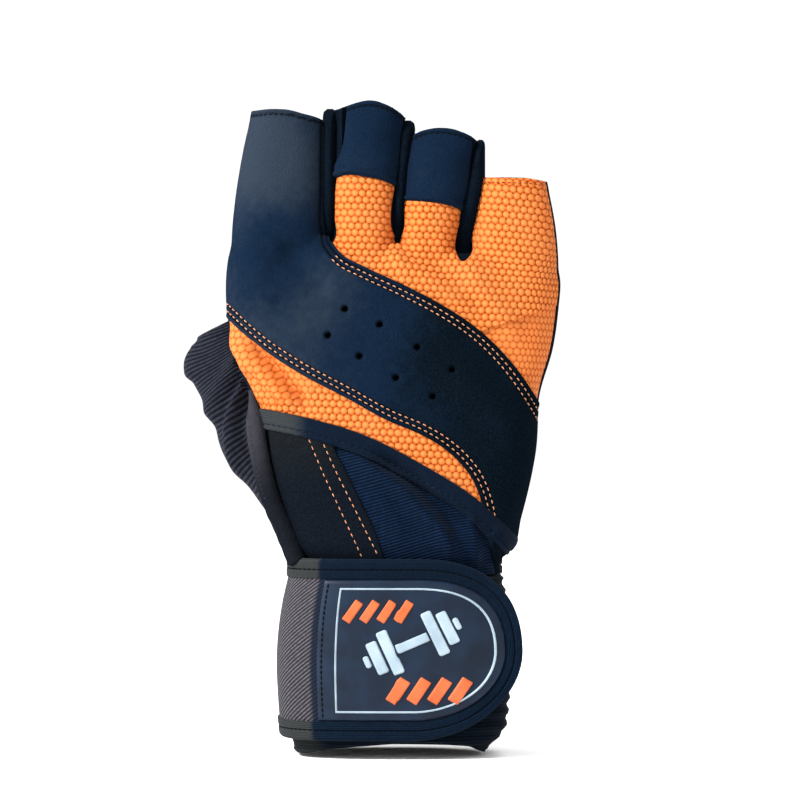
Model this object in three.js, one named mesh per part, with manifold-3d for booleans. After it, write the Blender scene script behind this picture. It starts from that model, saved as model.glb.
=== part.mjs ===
// A right-hand weightlifting glove, standing upright as it is worn: fingers up (+Z), back of the
// hand towards -Y, thumb towards -X. Lengths are millimetres. The origin is the centre of the
// wrist opening, at the height of the cuff's lowest edge.
import * as THREE from 'three';
import { mergeVertices } from 'three/addons/utils/BufferGeometryUtils.js';
import Module from 'manifold-3d';

const wasm = await Module();
wasm.setup();

// Main sizes
const GLOVE_LENGTH = 214;
const HAND_WIDTH = 108;
const HAND_DEPTH = 38;
const CURL_DEPTH = 4;
const THUMB_WIDTH = 34;
const THUMB_DEPTH = 36;
const WRIST_WIDTH = 74;
const WRIST_DEPTH = 45;

// Cloth and leather walls, and how far a layer stands proud of the hand's form
const LEATHER_WALL = 2;
const KNIT_WALL = 1.5;
const BACK_RAISE = 0.6;
const BUBBLE_RAISE = 0.3;
const HEM_RAISE = 1.2;
const TAPE_RAISE = 0.8;
const TAPE_WIDTH = 6.6;
const ROLL_DIAMETER = 6.6;
const FOLD_HEIGHT = 2;

// Wrist wrap and strap
const WRAP_HEIGHT = 58;
const WRAP_WALL = 2.2;
const CUFF_RISE = 5;
const STRAP_BOTTOM = 5.2;
const STRAP_HEIGHT = 58.9;
const STRAP_THICKNESS = 2.2;
const STRAP_END_ANGLE = 25;
const ROUND_END_LENGTH = 36.5;
const FLAP_LENGTH = 14.5;
const FLAP_ANGLE = 58;
const BINDING_WIDTH = 6.4;
const BINDING_THICKNESS = 3.6;
const PATCH_LENGTH = 66.5;
const PATCH_THICKNESS = 1;

// Clearances
const GAP = 0.3;
const STRAP_CLEARANCE = 0.5;
const SEAM_SETBACK = 1;
const REACH = 14;
const FOURCHETTE_SPREAD = 0.72;
const FOURCHETTE_DEPTH = 3;

// How square the sections are: 2 is an ellipse
const HAND_POWER = 2.8;
const FINGER_POWER = 2.4;
const WRIST_FRONT_POWER = 3.2;
const WRIST_BACK_POWER = 2.4;

// Facets
const HAND_SIDES = 32;
const FINGER_SIDES = 18;
const WRIST_SIDES = 36;
const SEAM_POINTS = 12;
const STRAP_ROWS = 4;

const STRAP_TOP = STRAP_BOTTOM + STRAP_HEIGHT;
const STRAP_OFFSET = STRAP_CLEARANCE + BINDING_THICKNESS / 2;
const FAR = 2 * HAND_WIDTH;

// Sections of the hand: height as a share of the glove's length, sides as shares of the hand's
// width, depths on either side of the curl line as shares of the hand's depth
const HAND_ROWS = table('up left right front back tilt', [
  [0.314, -0.322, 0.352, 0.585, 0.59, 0],
  [0.36, -0.355, 0.38, 0.57, 0.62, 0],
  [0.46, -0.402, 0.425, 0.52, 0.61, 0],
  [0.55, -0.436, 0.44, 0.48, 0.56, 0],
  [0.62, -0.496, 0.48, 0.45, 0.53, 0],
  [0.68, -0.51, 0.497, 0.43, 0.49, 0],
  [0.75, -0.503, 0.4995, 0.37, 0.42, -3],
  [0.775, -0.486, 0.485, 0.26, 0.3, -5],
]);

const FINGERS = {
  index: table('up left right front back tilt', [
    [0.6, -0.46, -0.18, 0.36, 0.36, 0],
    [0.775, -0.495, -0.2065, 0.35, 0.36, 0],
    [0.88, -0.474, -0.2078, 0.33, 0.34, -4],
    [0.985, -0.431, -0.2065, 0.31, 0.31, -9],
  ]),
  middle: table('up left right front back tilt', [
    [0.62, -0.23, 0.02, 0.36, 0.36, 0],
    [0.775, -0.1925, 0.0, 0.37, 0.37, 0],
    [0.87, -0.1925, 0.011, 0.35, 0.35, 0],
    [0.997, -0.1895, 0.0367, 0.33, 0.33, -7],
  ]),
  ring: table('up left right front back tilt', [
    [0.6, 0.0, 0.22, 0.36, 0.36, 0],
    [0.775, 0.014, 0.188, 0.35, 0.36, 0],
    [0.87, 0.0265, 0.226, 0.33, 0.34, 0],
    [0.955, 0.049, 0.269, 0.31, 0.32, -4],
  ]),
  pinky: table('up left right front back tilt', [
    [0.58, 0.18, 0.45, 0.33, 0.34, 0],
    [0.75, 0.225, 0.4975, 0.33, 0.34, 0],
    [0.8, 0.234, 0.491, 0.32, 0.33, 0],
    [0.88, 0.263, 0.464, 0.3, 0.31, -4],
  ]),
};

// Side walls between fingers, each with the height of the crotch that it lines
const FOURCHETTES = table('name left right crotch', [
  ['fourchette_index_middle', 'index', 'middle', 0.782],
  ['fourchette_middle_ring', 'middle', 'ring', 0.776],
  ['fourchette_ring_pinky', 'ring', 'pinky', 0.766],
]);

// Sections of the thumb from its root to its mouth: centre, half width as a share of the thumb's
// width, half depth as a share of the thumb's depth, and the lean towards -X in degrees
const THUMB_ROWS = table('up across deep half thick tilt', [
  [0.33, -0.19, 0.06, 0.36, 0.44, 12],
  [0.37, -0.235, 0.12, 0.42, 0.48, 26],
  [0.44, -0.302, 0.2, 0.5, 0.49, 32],
  [0.507, -0.396, 0.3, 0.5, 0.45, 30],
  [0.558, -0.438, 0.42, 0.47, 0.41, 28],
  [0.611, -0.512, 0.58, 0.44, 0.38, 22],
  [0.666, -0.499, 0.66, 0.385, 0.33, 27],
]);

// Sections of the wrist: height as a share of the wrap's height, sides as shares of the wrist's
// width, depths as shares of the wrist's depth
const WRIST_ROWS = table('up left right front back', [
  [0, -0.452, 0.43, 0.47, 0.47],
  [0.1, -0.46, 0.475, 0.485, 0.49],
  [0.3, -0.475, 0.502, 0.495, 0.5],
  [0.55, -0.482, 0.512, 0.5, 0.51],
  [0.85, -0.456, 0.49, 0.49, 0.5],
  [1, -0.428, 0.472, 0.475, 0.485],
]);

// Seams on the back of the hand, left to right: shares of the hand's width and the glove's length
const KNUCKLE_SEAM = table('across up', [
  [-0.2, 0.79],
  [-0.163, 0.766],
  [0.014, 0.72],
  [0.141, 0.687],
  [0.257, 0.648],
  [0.358, 0.597],
  [0.48, 0.501],
]);
const LOWER_SEAM = table('across up', [
  [-0.56, 0.685],
  [-0.423, 0.6254],
  [-0.2946, 0.582],
  [-0.15, 0.543],
  [-0.019, 0.507],
  [0.1375, 0.469],
  [0.227, 0.43],
  [0.29, 0.34],
]);
const TAPE_SEAM = table('across up', [
  [-0.56, 0.536],
  [-0.4, 0.526],
  [-0.2506, 0.51],
  [-0.0956, 0.486],
  [0.07, 0.444],
  [0.263, 0.3816],
  [0.3606, 0.3346],
  [0.48, 0.28],
]);
const SUEDE_SEAM = table('across up', [
  [-0.2, 0.53],
  [-0.186, 0.467],
  [-0.153, 0.435],
  [-0.11, 0.39],
  [-0.064, 0.342],
  [-0.01, 0.26],
]);

// Lower edges of the two hems
const HEM_EDGES = {
  middle: table('across up', [
    [-0.23, 0.88],
    [-0.1424, 0.8867],
    [-0.0428, 0.8783],
    [0.05, 0.862],
  ]),
  ring: table('across up', [
    [-0.03, 0.846],
    [0.0733, 0.8458],
    [0.1314, 0.8429],
    [0.25, 0.818],
  ]),
};

// Middle of the rolled edge at the thumb's base, from the tape down to the strap, with its depth
// as a share of the hand's depth
const ROLL_ROWS = table('across up deep', [
  [-0.437, 0.554, -0.12],
  [-0.43, 0.527, -0.13],
  [-0.421, 0.493, -0.14],
  [-0.402, 0.445, -0.17],
  [-0.375, 0.395, -0.2],
  [-0.325, 0.335, -0.26],
  [-0.285, 0.29, -0.3],
]);

// Main folds on the back of the hand, each from one point to another, with its width as a share
// of the hand's width and its height as a share of the fold height
const FOLDS = table('across up toAcross toUp width height', [
  [-0.48, 0.65, -0.23, 0.49, 0.08, 0.85],
  [-0.42, 0.59, -0.33, 0.51, 0.05, 0.6],
  [-0.02, 0.61, 0.36, 0.47, 0.15, 0.4],
  [-0.01, 0.44, 0.11, 0.28, 0.08, 0.55],
  [0.12, 0.42, 0.24, 0.28, 0.08, 0.65],
  [0.22, 0.34, 0.36, 0.316, 0.05, 0.7],
]);

// Rows of numbers with named columns
function table(columns, rows) {
  const names = columns.split(' ');
  return rows.map((row) => Object.fromEntries(names.map((name, i) => [name, row[i]])));
}

// Straight-line value of one column at a height
function columnAt(rows, name, up) {
  if (up <= rows[0].up) return rows[0][name];
  const next = rows.findIndex((row) => row.up >= up);
  if (next < 0) return rows[rows.length - 1][name];
  const [low, high] = [rows[next - 1], rows[next]];
  return low[name] + (high[name] - low[name]) * (up - low.up) / (high.up - low.up);
}

// The palmar bend of the fingers: where the widest line of a section lies
function curlAt(up) {
  return CURL_DEPTH * Math.max(0, (up - 0.7) / 0.3) ** 1.5;
}

// A section in millimetres; grow widens it all round and raise moves its back-of-hand side alone
function handSection(row, grow, raise, power) {
  return {
    x: HAND_WIDTH * (row.left + row.right) / 2,
    y: curlAt(row.up),
    z: GLOVE_LENGTH * row.up,
    half: HAND_WIDTH * (row.right - row.left) / 2 + grow,
    front: HAND_DEPTH * row.front + grow + raise,
    back: HAND_DEPTH * row.back + grow,
    tilt: row.tilt,
    frontPower: power,
    backPower: power,
  };
}

// A point on the back of the hand, by its share of the width and the height
function backPoint(across, up) {
  const share = (name) => columnAt(HAND_ROWS, name, up);
  const middle = (share('left') + share('right')) / 2;
  const side = Math.min(Math.abs(across - middle) / ((share('right') - share('left')) / 2), 0.98);
  const front = HAND_DEPTH * share('front') * (1 - side ** HAND_POWER) ** (1 / HAND_POWER);
  return new THREE.Vector3(HAND_WIDTH * across, curlAt(up) - front, GLOVE_LENGTH * up);
}

function thumbSection(row, grow) {
  const depth = THUMB_DEPTH * row.thick + grow;
  return {
    x: HAND_WIDTH * row.across,
    y: HAND_DEPTH * row.deep,
    z: GLOVE_LENGTH * row.up,
    half: THUMB_WIDTH * row.half + grow,
    front: depth,
    back: depth,
    tilt: row.tilt,
    frontPower: FINGER_POWER,
    backPower: FINGER_POWER,
  };
}

function wristSection(z, grow) {
  const up = z / WRAP_HEIGHT;
  const share = (name) => columnAt(WRIST_ROWS, name, up);
  return {
    x: WRIST_WIDTH * (share('left') + share('right')) / 2,
    y: 0,
    z,
    half: WRIST_WIDTH * (share('right') - share('left')) / 2 + grow,
    front: WRIST_DEPTH * share('front') + grow,
    back: WRIST_DEPTH * share('back') + grow,
    tilt: 0,
    frontPower: WRIST_FRONT_POWER,
    backPower: WRIST_BACK_POWER,
  };
}

// One point of a section's rounded outline; angle 0 is the +X side and angles run towards +Y
function outlinePoint(section, angle) {
  const power = Math.sin(angle) < 0 ? section.frontPower : section.backPower;
  const rounded = (value) => Math.sign(value) * Math.abs(value) ** (2 / power);
  const side = section.half * rounded(Math.cos(angle));
  const sine = rounded(Math.sin(angle));
  const tilt = THREE.MathUtils.degToRad(section.tilt);
  return new THREE.Vector3(
    section.x + side * Math.cos(tilt),
    section.y + sine * (sine < 0 ? section.front : section.back),
    section.z + side * Math.sin(tilt),
  );
}

// A closed body through sections given from the lowest to the highest
function loft(sections, sides) {
  const positions = [];
  const indices = [];
  for (const section of sections) {
    for (let i = 0; i < sides; i += 1) {
      positions.push(...outlinePoint(section, 2 * Math.PI * i / sides));
    }
  }
  for (let level = 1; level < sections.length; level += 1) {
    for (let i = 0; i < sides; i += 1) {
      const [a, b] = [i, (i + 1) % sides].map((side) => (level - 1) * sides + side);
      indices.push(a, b, b + sides, a, b + sides, a + sides);
    }
  }
  const last = sections.length - 1;
  const bottom = sections.length * sides;
  positions.push(sections[0].x, sections[0].y, sections[0].z);
  positions.push(sections[last].x, sections[last].y, sections[last].z);
  for (let i = 0; i < sides; i += 1) {
    const next = (i + 1) % sides;
    indices.push(next, i, bottom);
    indices.push(last * sides + i, last * sides + next, bottom + 1);
  }
  return solidFrom(positions, indices);
}

function solidFrom(positions, indices) {
  return new wasm.Manifold(new wasm.Mesh({
    numProp: 3,
    vertProperties: new Float32Array(positions),
    triVerts: new Uint32Array(indices),
  }));
}

function solidOf(geometry) {
  geometry.deleteAttribute('normal');
  geometry.deleteAttribute('uv');
  const merged = mergeVertices(geometry, 1e-4);
  return solidFrom(merged.attributes.position.array, merged.index.array);
}

// A flat outline pushed through the glove: from front to back, or from side to side
function prism(outline, toWorld) {
  const shape = new THREE.Shape(outline);
  const geometry = new THREE.ExtrudeGeometry(shape, { depth: 2 * FAR, bevelEnabled: false });
  geometry.translate(0, 0, -FAR);
  geometry.applyMatrix4(toWorld);
  return solidOf(geometry);
}

function prismThroughBack(outline) {
  const axes = [new THREE.Vector3(1, 0, 0), new THREE.Vector3(0, 0, 1), new THREE.Vector3(0, -1, 0)];
  return prism(outline, new THREE.Matrix4().makeBasis(...axes));
}

function prismThroughSides(outline) {
  const axes = [new THREE.Vector3(0, 1, 0), new THREE.Vector3(0, 0, 1), new THREE.Vector3(1, 0, 0)];
  return prism(outline, new THREE.Matrix4().makeBasis(...axes));
}

// Seams as smooth lines of points (x, z)
function seamLine(rows, points = SEAM_POINTS) {
  const marks = rows.map((row) => new THREE.Vector2(HAND_WIDTH * row.across, GLOVE_LENGTH * row.up));
  return new THREE.SplineCurve(marks).getPoints(points);
}

// The same line moved sideways; a positive distance moves a line that runs left to right upwards
function offsetLine(points, distance) {
  return points.map((point, i) => {
    const before = points[Math.max(i - 1, 0)];
    const after = points[Math.min(i + 1, points.length - 1)];
    const run = after.clone().sub(before).normalize();
    return new THREE.Vector2(point.x - run.y * distance, point.y + run.x * distance);
  });
}

function seamCut(points) {
  return prismThroughBack([...offsetLine(points, -GAP / 2), ...offsetLine(points, GAP / 2).reverse()]);
}

// Everything above a line that runs left to right, out to the far sides
function above(points) {
  const [first, last] = [points[0], points[points.length - 1]];
  return prismThroughBack([
    ...points,
    new THREE.Vector2(FAR, last.y),
    new THREE.Vector2(FAR, FAR * 2),
    new THREE.Vector2(-FAR, FAR * 2),
    new THREE.Vector2(-FAR, first.y),
  ]);
}

// The hand's form: palm, back and four fingers in one
function handForm(grow, raise, reach) {
  const neck = wristSection(WRAP_HEIGHT, grow);
  const bottom = { ...neck, z: WRAP_HEIGHT + GAP - reach };
  const top = { ...neck, z: STRAP_TOP + GAP };
  const rows = HAND_ROWS.map((row) => handSection(row, grow, raise, HAND_POWER));
  rows[rows.length - 1].z += grow;
  rows[rows.length - 2].z += grow / 2;
  const parts = [loft([bottom, top, ...rows], HAND_SIDES)];
  for (const fingerRows of Object.values(FINGERS)) {
    const sections = fingerRows.map((row) => handSection(row, grow, raise, FINGER_POWER));
    if (reach > 0) {
      const mouth = sections[sections.length - 1];
      sections.push({ ...mouth, z: mouth.z + reach });
    }
    parts.push(loft(sections, FINGER_SIDES));
  }
  return parts.reduce((whole, part) => whole.add(part));
}

function thumbForm(grow, reach) {
  const sections = THUMB_ROWS.map((row) => thumbSection(row, grow));
  if (reach > 0) {
    const mouth = sections[sections.length - 1];
    const lean = THREE.MathUtils.degToRad(mouth.tilt);
    sections.push({
      ...mouth,
      x: mouth.x - reach * Math.sin(lean),
      z: mouth.z + reach * Math.cos(lean),
    });
  }
  return loft(sections, FINGER_SIDES);
}

// The back-of-hand side of the glove, up to a line just in front of the widest one
function backHalf(setback) {
  const line = [0, 0.7, 0.775, 0.85, 0.925, 1].map(
    (up) => new THREE.Vector2(curlAt(up) - setback, GLOVE_LENGTH * up),
  );
  const end = line[line.length - 1];
  return prismThroughSides([
    new THREE.Vector2(-FAR, -FAR),
    new THREE.Vector2(line[0].x, -FAR),
    ...line,
    new THREE.Vector2(end.x, FAR * 2),
    new THREE.Vector2(-FAR, FAR * 2),
  ]);
}

// Where a finger's side wall starts, left (-1) or right (+1) of the finger's middle
function sideWallAt(finger, up, side) {
  const left = columnAt(FINGERS[finger], 'left', up);
  const right = columnAt(FINGERS[finger], 'right', up);
  return HAND_WIDTH * ((left + right) / 2 + side * FOURCHETTE_SPREAD * (right - left) / 2);
}

function fourchetteZone(row, grow) {
  const low = row.crotch - FOURCHETTE_DEPTH / GLOVE_LENGTH;
  const ups = [low, 0.88, 1, 1.2];
  const edge = (finger, side) => ups.map((up) => new THREE.Vector2(
    sideWallAt(finger, up, side) - side * grow,
    GLOVE_LENGTH * up - (up === low ? grow : 0),
  ));
  return prismThroughBack([...edge(row.left, 1).reverse(), ...edge(row.right, -1)]);
}

// Everything over a hem's lower edge, between the fourchettes of its finger
function hemZone(finger) {
  return above(seamLine(HEM_EDGES[finger])).intersect(fingerZone(finger));
}

function fingerZone(finger) {
  const ups = [0.8, 0.88, 1, 1.2];
  const left = ups.map((up) => new THREE.Vector2(sideWallAt(finger, up, -1), GLOVE_LENGTH * up));
  const right = ups.map((up) => new THREE.Vector2(sideWallAt(finger, up, 1), GLOVE_LENGTH * up));
  return prismThroughBack([...left.reverse(), ...right]);
}

// One fold, as a long flat egg half sunk into the back of the hand
function foldForm(row) {
  const start = backPoint(row.across, row.up);
  const end = backPoint(row.toAcross, row.toUp);
  const along = end.clone().sub(start);
  const egg = new THREE.SphereGeometry(1, 9, 6);
  egg.scale(along.length() / 2, FOLD_HEIGHT * row.height, HAND_WIDTH * row.width / 2);
  const alongAxis = along.normalize();
  const sideAxis = alongAxis.clone().cross(new THREE.Vector3(0, 1, 0)).normalize();
  const outAxis = sideAxis.clone().cross(alongAxis);
  const place = new THREE.Matrix4().makeBasis(alongAxis, outAxis, sideAxis);
  const middle = backPoint((row.across + row.toAcross) / 2, (row.up + row.toUp) / 2);
  egg.applyMatrix4(place.setPosition(middle));
  return solidOf(egg);
}

// The rolled edge as a round bar along its line
function rollBar(diameter) {
  const points = ROLL_ROWS.map((row) => new THREE.Vector3(
    HAND_WIDTH * row.across,
    HAND_DEPTH * row.deep,
    GLOVE_LENGTH * row.up,
  ));
  const path = new THREE.CatmullRomCurve3(points);
  const section = new THREE.Shape();
  section.absarc(0, 0, diameter / 2, 0, 2 * Math.PI);
  const options = { steps: 8, curveSegments: 4, extrudePath: path, bevelEnabled: false };
  return solidOf(new THREE.ExtrudeGeometry(section, options));
}

// The room that the strap takes round the hand's lowest part
function strapRoom() {
  const top = STRAP_TOP + GAP;
  const block = new THREE.BoxGeometry(FAR, FAR, FAR).translate(0, 0, top - FAR / 2);
  const neck = wristSection(WRAP_HEIGHT, 0);
  const core = loft([{ ...neck, z: top - 1.5 * FAR }, { ...neck, z: top + GAP }], HAND_SIDES);
  return solidOf(block).subtract(core);
}

// The largest connected body, without crumbs left by the cuts
function mainBody(solid) {
  const bodies = solid.decompose();
  return bodies.reduce((best, body) => (body.volume() > best.volume() ? body : best));
}

// Wrist wrap: an elastic tube whose front edge arches up over the wrist
function wrapTube() {
  const levels = WRIST_ROWS.map((row) => row.up * WRAP_HEIGHT);
  const outer = loft(levels.map((z) => wristSection(z, 0)), WRIST_SIDES);
  const inside = levels.map((z) => wristSection(z, -WRAP_WALL));
  inside.unshift({ ...inside[0], z: -REACH });
  inside.push({ ...inside[inside.length - 1], z: WRAP_HEIGHT + REACH });
  const tube = outer.subtract(loft(inside, WRIST_SIDES));
  const half = WRIST_WIDTH * 0.4;
  const arch = new THREE.SplineCurve([
    new THREE.Vector2(-half, 0),
    new THREE.Vector2(-half / 2, CUFF_RISE * 0.7),
    new THREE.Vector2(half / 8, CUFF_RISE),
    new THREE.Vector2(half / 1.6, CUFF_RISE * 0.7),
    new THREE.Vector2(half, 0),
  ]).getPoints(12);
  const cut = prismThroughBack([
    new THREE.Vector2(half, -REACH),
    new THREE.Vector2(-half, -REACH),
    ...arch,
  ].reverse());
  return tube.subtract(cut.intersect(backHalf(SEAM_SETBACK)));
}

// Distances along the strap's middle, from where its flat end leaves the wrist, at the same
// angles as the facets of the wrist
function strapTurns() {
  const section = wristSection(STRAP_BOTTOM + STRAP_HEIGHT / 2, STRAP_OFFSET);
  const step = 360 / WRIST_SIDES;
  const end = STRAP_END_ANGLE - 360;
  const angles = [-FLAP_ANGLE];
  for (let angle = -step * Math.ceil(FLAP_ANGLE / step + 0.1); angle > end; angle -= step) {
    angles.push(angle);
  }
  angles.push(end);
  let along = FLAP_LENGTH;
  let before = outlinePoint(section, THREE.MathUtils.degToRad(-FLAP_ANGLE));
  return angles.map((angle) => {
    const point = outlinePoint(section, THREE.MathUtils.degToRad(angle));
    along += point.distanceTo(before);
    before = point;
    return { angle, along };
  });
}

const TURNS = strapTurns();
const STRAP_LENGTH = TURNS[TURNS.length - 1].along;

// A point of the strap: distance from its round tip, height, and distance out from the wrist
function strapPoint(along, z, out) {
  const section = wristSection(z, out);
  const next = Math.max(1, TURNS.findIndex((turn) => turn.along >= along));
  const [low, high] = along > STRAP_LENGTH ? TURNS.slice(-2) : [TURNS[next - 1], TURNS[next]];
  const share = Math.max(0, (along - low.along) / (high.along - low.along));
  const angle = THREE.MathUtils.degToRad(low.angle + (high.angle - low.angle) * share);
  const point = outlinePoint(section, angle);
  if (along >= FLAP_LENGTH) return point;
  const ahead = point.clone().sub(outlinePoint(section, angle - 0.02)).setZ(0).normalize();
  return point.addScaledVector(ahead, FLAP_LENGTH - along);
}

// The strap's outline, inset from its edge, as stations along it with half heights
function strapStations(inset, end) {
  const [long, tall] = [ROUND_END_LENGTH - inset, STRAP_HEIGHT / 2 - inset];
  const stations = [];
  for (let angle = 10; angle <= 90; angle += 10) {
    const turn = THREE.MathUtils.degToRad(angle);
    stations.push({ along: ROUND_END_LENGTH - long * Math.cos(turn), half: tall * Math.sin(turn) });
  }
  const straight = TURNS.map((turn) => turn.along)
    .filter((along) => along > ROUND_END_LENGTH && along < end);
  for (const along of [...straight, end]) {
    stations.push({ along, half: tall });
  }
  return stations;
}

// A sheet bent round the wrist between two distances out from it
function bentSheet(stations, inner, outer) {
  const positions = [];
  const indices = [];
  const middle = STRAP_BOTTOM + STRAP_HEIGHT / 2;
  const across = STRAP_ROWS + 1;
  for (const out of [inner, outer]) {
    for (const station of stations) {
      for (let row = 0; row < across; row += 1) {
        const z = middle + station.half * (2 * row / STRAP_ROWS - 1);
        positions.push(...strapPoint(station.along, z, out));
      }
    }
  }
  const layer = stations.length * across;
  const quad = (a, b, c, d) => indices.push(a, b, c, a, c, d);
  for (let i = 1; i < stations.length; i += 1) {
    const [from, to] = [(i - 1) * across, i * across];
    for (let row = 1; row < across; row += 1) {
      quad(from + row - 1, to + row - 1, to + row, from + row);
      quad(layer + from + row - 1, layer + from + row, layer + to + row, layer + to + row - 1);
    }
    const top = across - 1;
    quad(from, layer + from, layer + to, to);
    quad(from + top, to + top, layer + to + top, layer + from + top);
  }
  const last = (stations.length - 1) * across;
  for (let row = 1; row < across; row += 1) {
    quad(row - 1, row, layer + row, layer + row - 1);
    quad(last + row - 1, layer + last + row - 1, layer + last + row, last + row);
  }
  return solidFrom(positions, indices);
}

function strapBinding() {
  const [inner, outer] = [STRAP_OFFSET - BINDING_THICKNESS / 2, STRAP_OFFSET + BINDING_THICKNESS / 2];
  const whole = bentSheet(strapStations(0, STRAP_LENGTH), inner, outer);
  const hole = strapStations(BINDING_WIDTH, STRAP_LENGTH + REACH);
  return whole.subtract(bentSheet(hole, inner - STRAP_THICKNESS, outer + STRAP_THICKNESS));
}

function strapBody() {
  const half = STRAP_THICKNESS / 2;
  const stations = strapStations(BINDING_WIDTH + GAP, STRAP_LENGTH);
  return bentSheet(stations, STRAP_OFFSET - half, STRAP_OFFSET + half);
}

function strapPatch() {
  const face = STRAP_OFFSET + STRAP_THICKNESS / 2 + GAP;
  return bentSheet(strapStations(BINDING_WIDTH + GAP, PATCH_LENGTH), face, face + PATCH_THICKNESS);
}

// Materials by the cloth they stand for
function cloth(color, roughness) {
  return new THREE.MeshStandardMaterial({ color, roughness, metalness: 0 });
}

const navySuede = cloth(0x1e2d4b, 0.9);
const orangeBubble = cloth(0xf58c46, 0.75);
const navyTape = cloth(0x17305a, 0.85);
const navyRib = cloth(0x172f58, 0.85);
const darkSuede = cloth(0x24272b, 0.92);
const greySuede = cloth(0x4b4b55, 0.9);
const blackKnit = cloth(0x1b1f26, 0.88);
const strapTwill = cloth(0x5f5c62, 0.85);
const patchRubber = cloth(0x2b4260, 0.5);

function namedMesh(name, solid, material) {
  const { vertProperties, triVerts } = mainBody(solid).getMesh();
  const geometry = new THREE.BufferGeometry();
  geometry.setAttribute('position', new THREE.BufferAttribute(vertProperties, 3));
  geometry.setIndex(new THREE.BufferAttribute(triVerts, 1));
  geometry.computeVertexNormals();
  const mesh = new THREE.Mesh(geometry, material);
  mesh.name = name;
  return mesh;
}

// Seams as cuts and as limits of the panels
const knuckleLine = seamLine(KNUCKLE_SEAM);
const lowerLine = seamLine(LOWER_SEAM);
const tapeLine = seamLine(TAPE_SEAM);
const tapeFoot = offsetLine(tapeLine, -TAPE_WIDTH);
const suedeLine = seamLine(SUEDE_SEAM);
const aboveTape = above(tapeLine);
const aboveTapeFoot = above(tapeFoot);
const aboveLower = above(lowerLine);
const slotTop = new THREE.Vector2(knuckleLine[0].x, GLOVE_LENGTH * 1.2);
const knuckleRegion = prismThroughBack([
  ...knuckleLine,
  new THREE.Vector2(FAR, knuckleLine[SEAM_POINTS].y),
  new THREE.Vector2(FAR, slotTop.y),
  slotTop,
]);
const gussetRegion = prismThroughBack([
  ...[...suedeLine].reverse(),
  new THREE.Vector2(suedeLine[0].x, GLOVE_LENGTH),
  new THREE.Vector2(FAR, GLOVE_LENGTH),
  new THREE.Vector2(FAR, 0),
  new THREE.Vector2(suedeLine[SEAM_POINTS].x, 0),
].reverse());

// The hollow that the hand fills, open at the wrist, the fingers and the thumb
const hollow = handForm(-LEATHER_WALL, 0, REACH).add(thumbForm(-KNIT_WALL, REACH));
const fourchetteRooms = FOURCHETTES
  .map((row) => fourchetteZone(row, GAP))
  .reduce((all, room) => all.add(room));
const rollRoom = rollBar(ROLL_DIAMETER + 2 * GAP);
const strapSpace = strapRoom();
const back = backHalf(SEAM_SETBACK + GAP / 2);
const palmSide = backHalf(SEAM_SETBACK - GAP / 2);

// One layer of the back of the hand, standing proud by its own amount
function backLayer(raise) {
  return FOLDS.reduce((form, row) => form.add(foldForm(row)), handForm(0, raise, 0))
    .subtract(hollow)
    .intersect(back)
    .subtract(fourchetteRooms)
    .subtract(rollRoom)
    .subtract(strapSpace);
}

const navyLayer = backLayer(BACK_RAISE);
const bubbleLayer = backLayer(BUBBLE_RAISE);
const tapeLayer = backLayer(TAPE_RAISE);
const plainLayer = backLayer(0);
const hemLayer = backLayer(HEM_RAISE);
const hems = Object.keys(HEM_EDGES);
const hemZones = hems.map((finger) => hemZone(finger));
const hemCuts = hems.map((finger) => seamCut(seamLine(HEM_EDGES[finger])).intersect(fingerZone(finger)));

const backPanel = navyLayer
  .intersect(aboveLower)
  .intersect(aboveTape)
  .subtract(knuckleRegion)
  .subtract(seamCut(knuckleLine))
  .subtract(seamCut(lowerLine))
  .subtract(seamCut(tapeLine));
const knucklePanel = [...hemZones, ...hemCuts].reduce(
  (panel, zone) => panel.subtract(zone),
  bubbleLayer.intersect(knuckleRegion).subtract(seamCut(knuckleLine)),
);
const lowerPanel = bubbleLayer
  .intersect(aboveTape)
  .subtract(aboveLower)
  .subtract(seamCut(lowerLine))
  .subtract(seamCut(tapeLine));
const diagonalBinding = tapeLayer
  .intersect(aboveTapeFoot)
  .subtract(aboveTape)
  .subtract(seamCut(tapeLine))
  .subtract(seamCut(tapeFoot));
const underTape = plainLayer.subtract(aboveTapeFoot).subtract(seamCut(tapeFoot));
const wristGusset = underTape.intersect(gussetRegion).subtract(seamCut(suedeLine));
const thumbSidePanel = underTape.subtract(gussetRegion).subtract(seamCut(suedeLine));
const thumbRoll = rollBar(ROLL_DIAMETER).subtract(strapSpace);
const palmPanel = handForm(0, 0, 0)
  .subtract(hollow)
  .subtract(palmSide)
  .subtract(fourchetteRooms)
  .subtract(rollRoom)
  .subtract(strapSpace);
const thumbStall = thumbForm(0, 0)
  .subtract(hollow)
  .subtract(handForm(GAP, HEM_RAISE, 0))
  .subtract(rollRoom)
  .subtract(strapSpace);
const fingerWalls = handForm(0, 0, 0).subtract(hollow);

const glove = new THREE.Group();
glove.add(
  namedMesh('back_panel', backPanel, navySuede),
  namedMesh('knuckle_panel', knucklePanel, orangeBubble),
  namedMesh('lower_panel', lowerPanel, orangeBubble),
  namedMesh('diagonal_binding', diagonalBinding, navyTape),
  namedMesh('wrist_gusset', wristGusset, navyRib),
  namedMesh('thumb_side_panel', thumbSidePanel, darkSuede),
  namedMesh('thumb_roll', thumbRoll, greySuede),
  namedMesh('thumb_stall', thumbStall, blackKnit),
  namedMesh('palm_panel', palmPanel, darkSuede),
  namedMesh('wrist_wrap', wrapTube(), navyTape),
  namedMesh('strap', strapBody(), strapTwill),
  namedMesh('strap_binding', strapBinding(), navyTape),
  namedMesh('strap_patch', strapPatch(), patchRubber),
);
for (const row of FOURCHETTES) {
  glove.add(namedMesh(row.name, fingerWalls.intersect(fourchetteZone(row, 0)), darkSuede));
}
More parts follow.
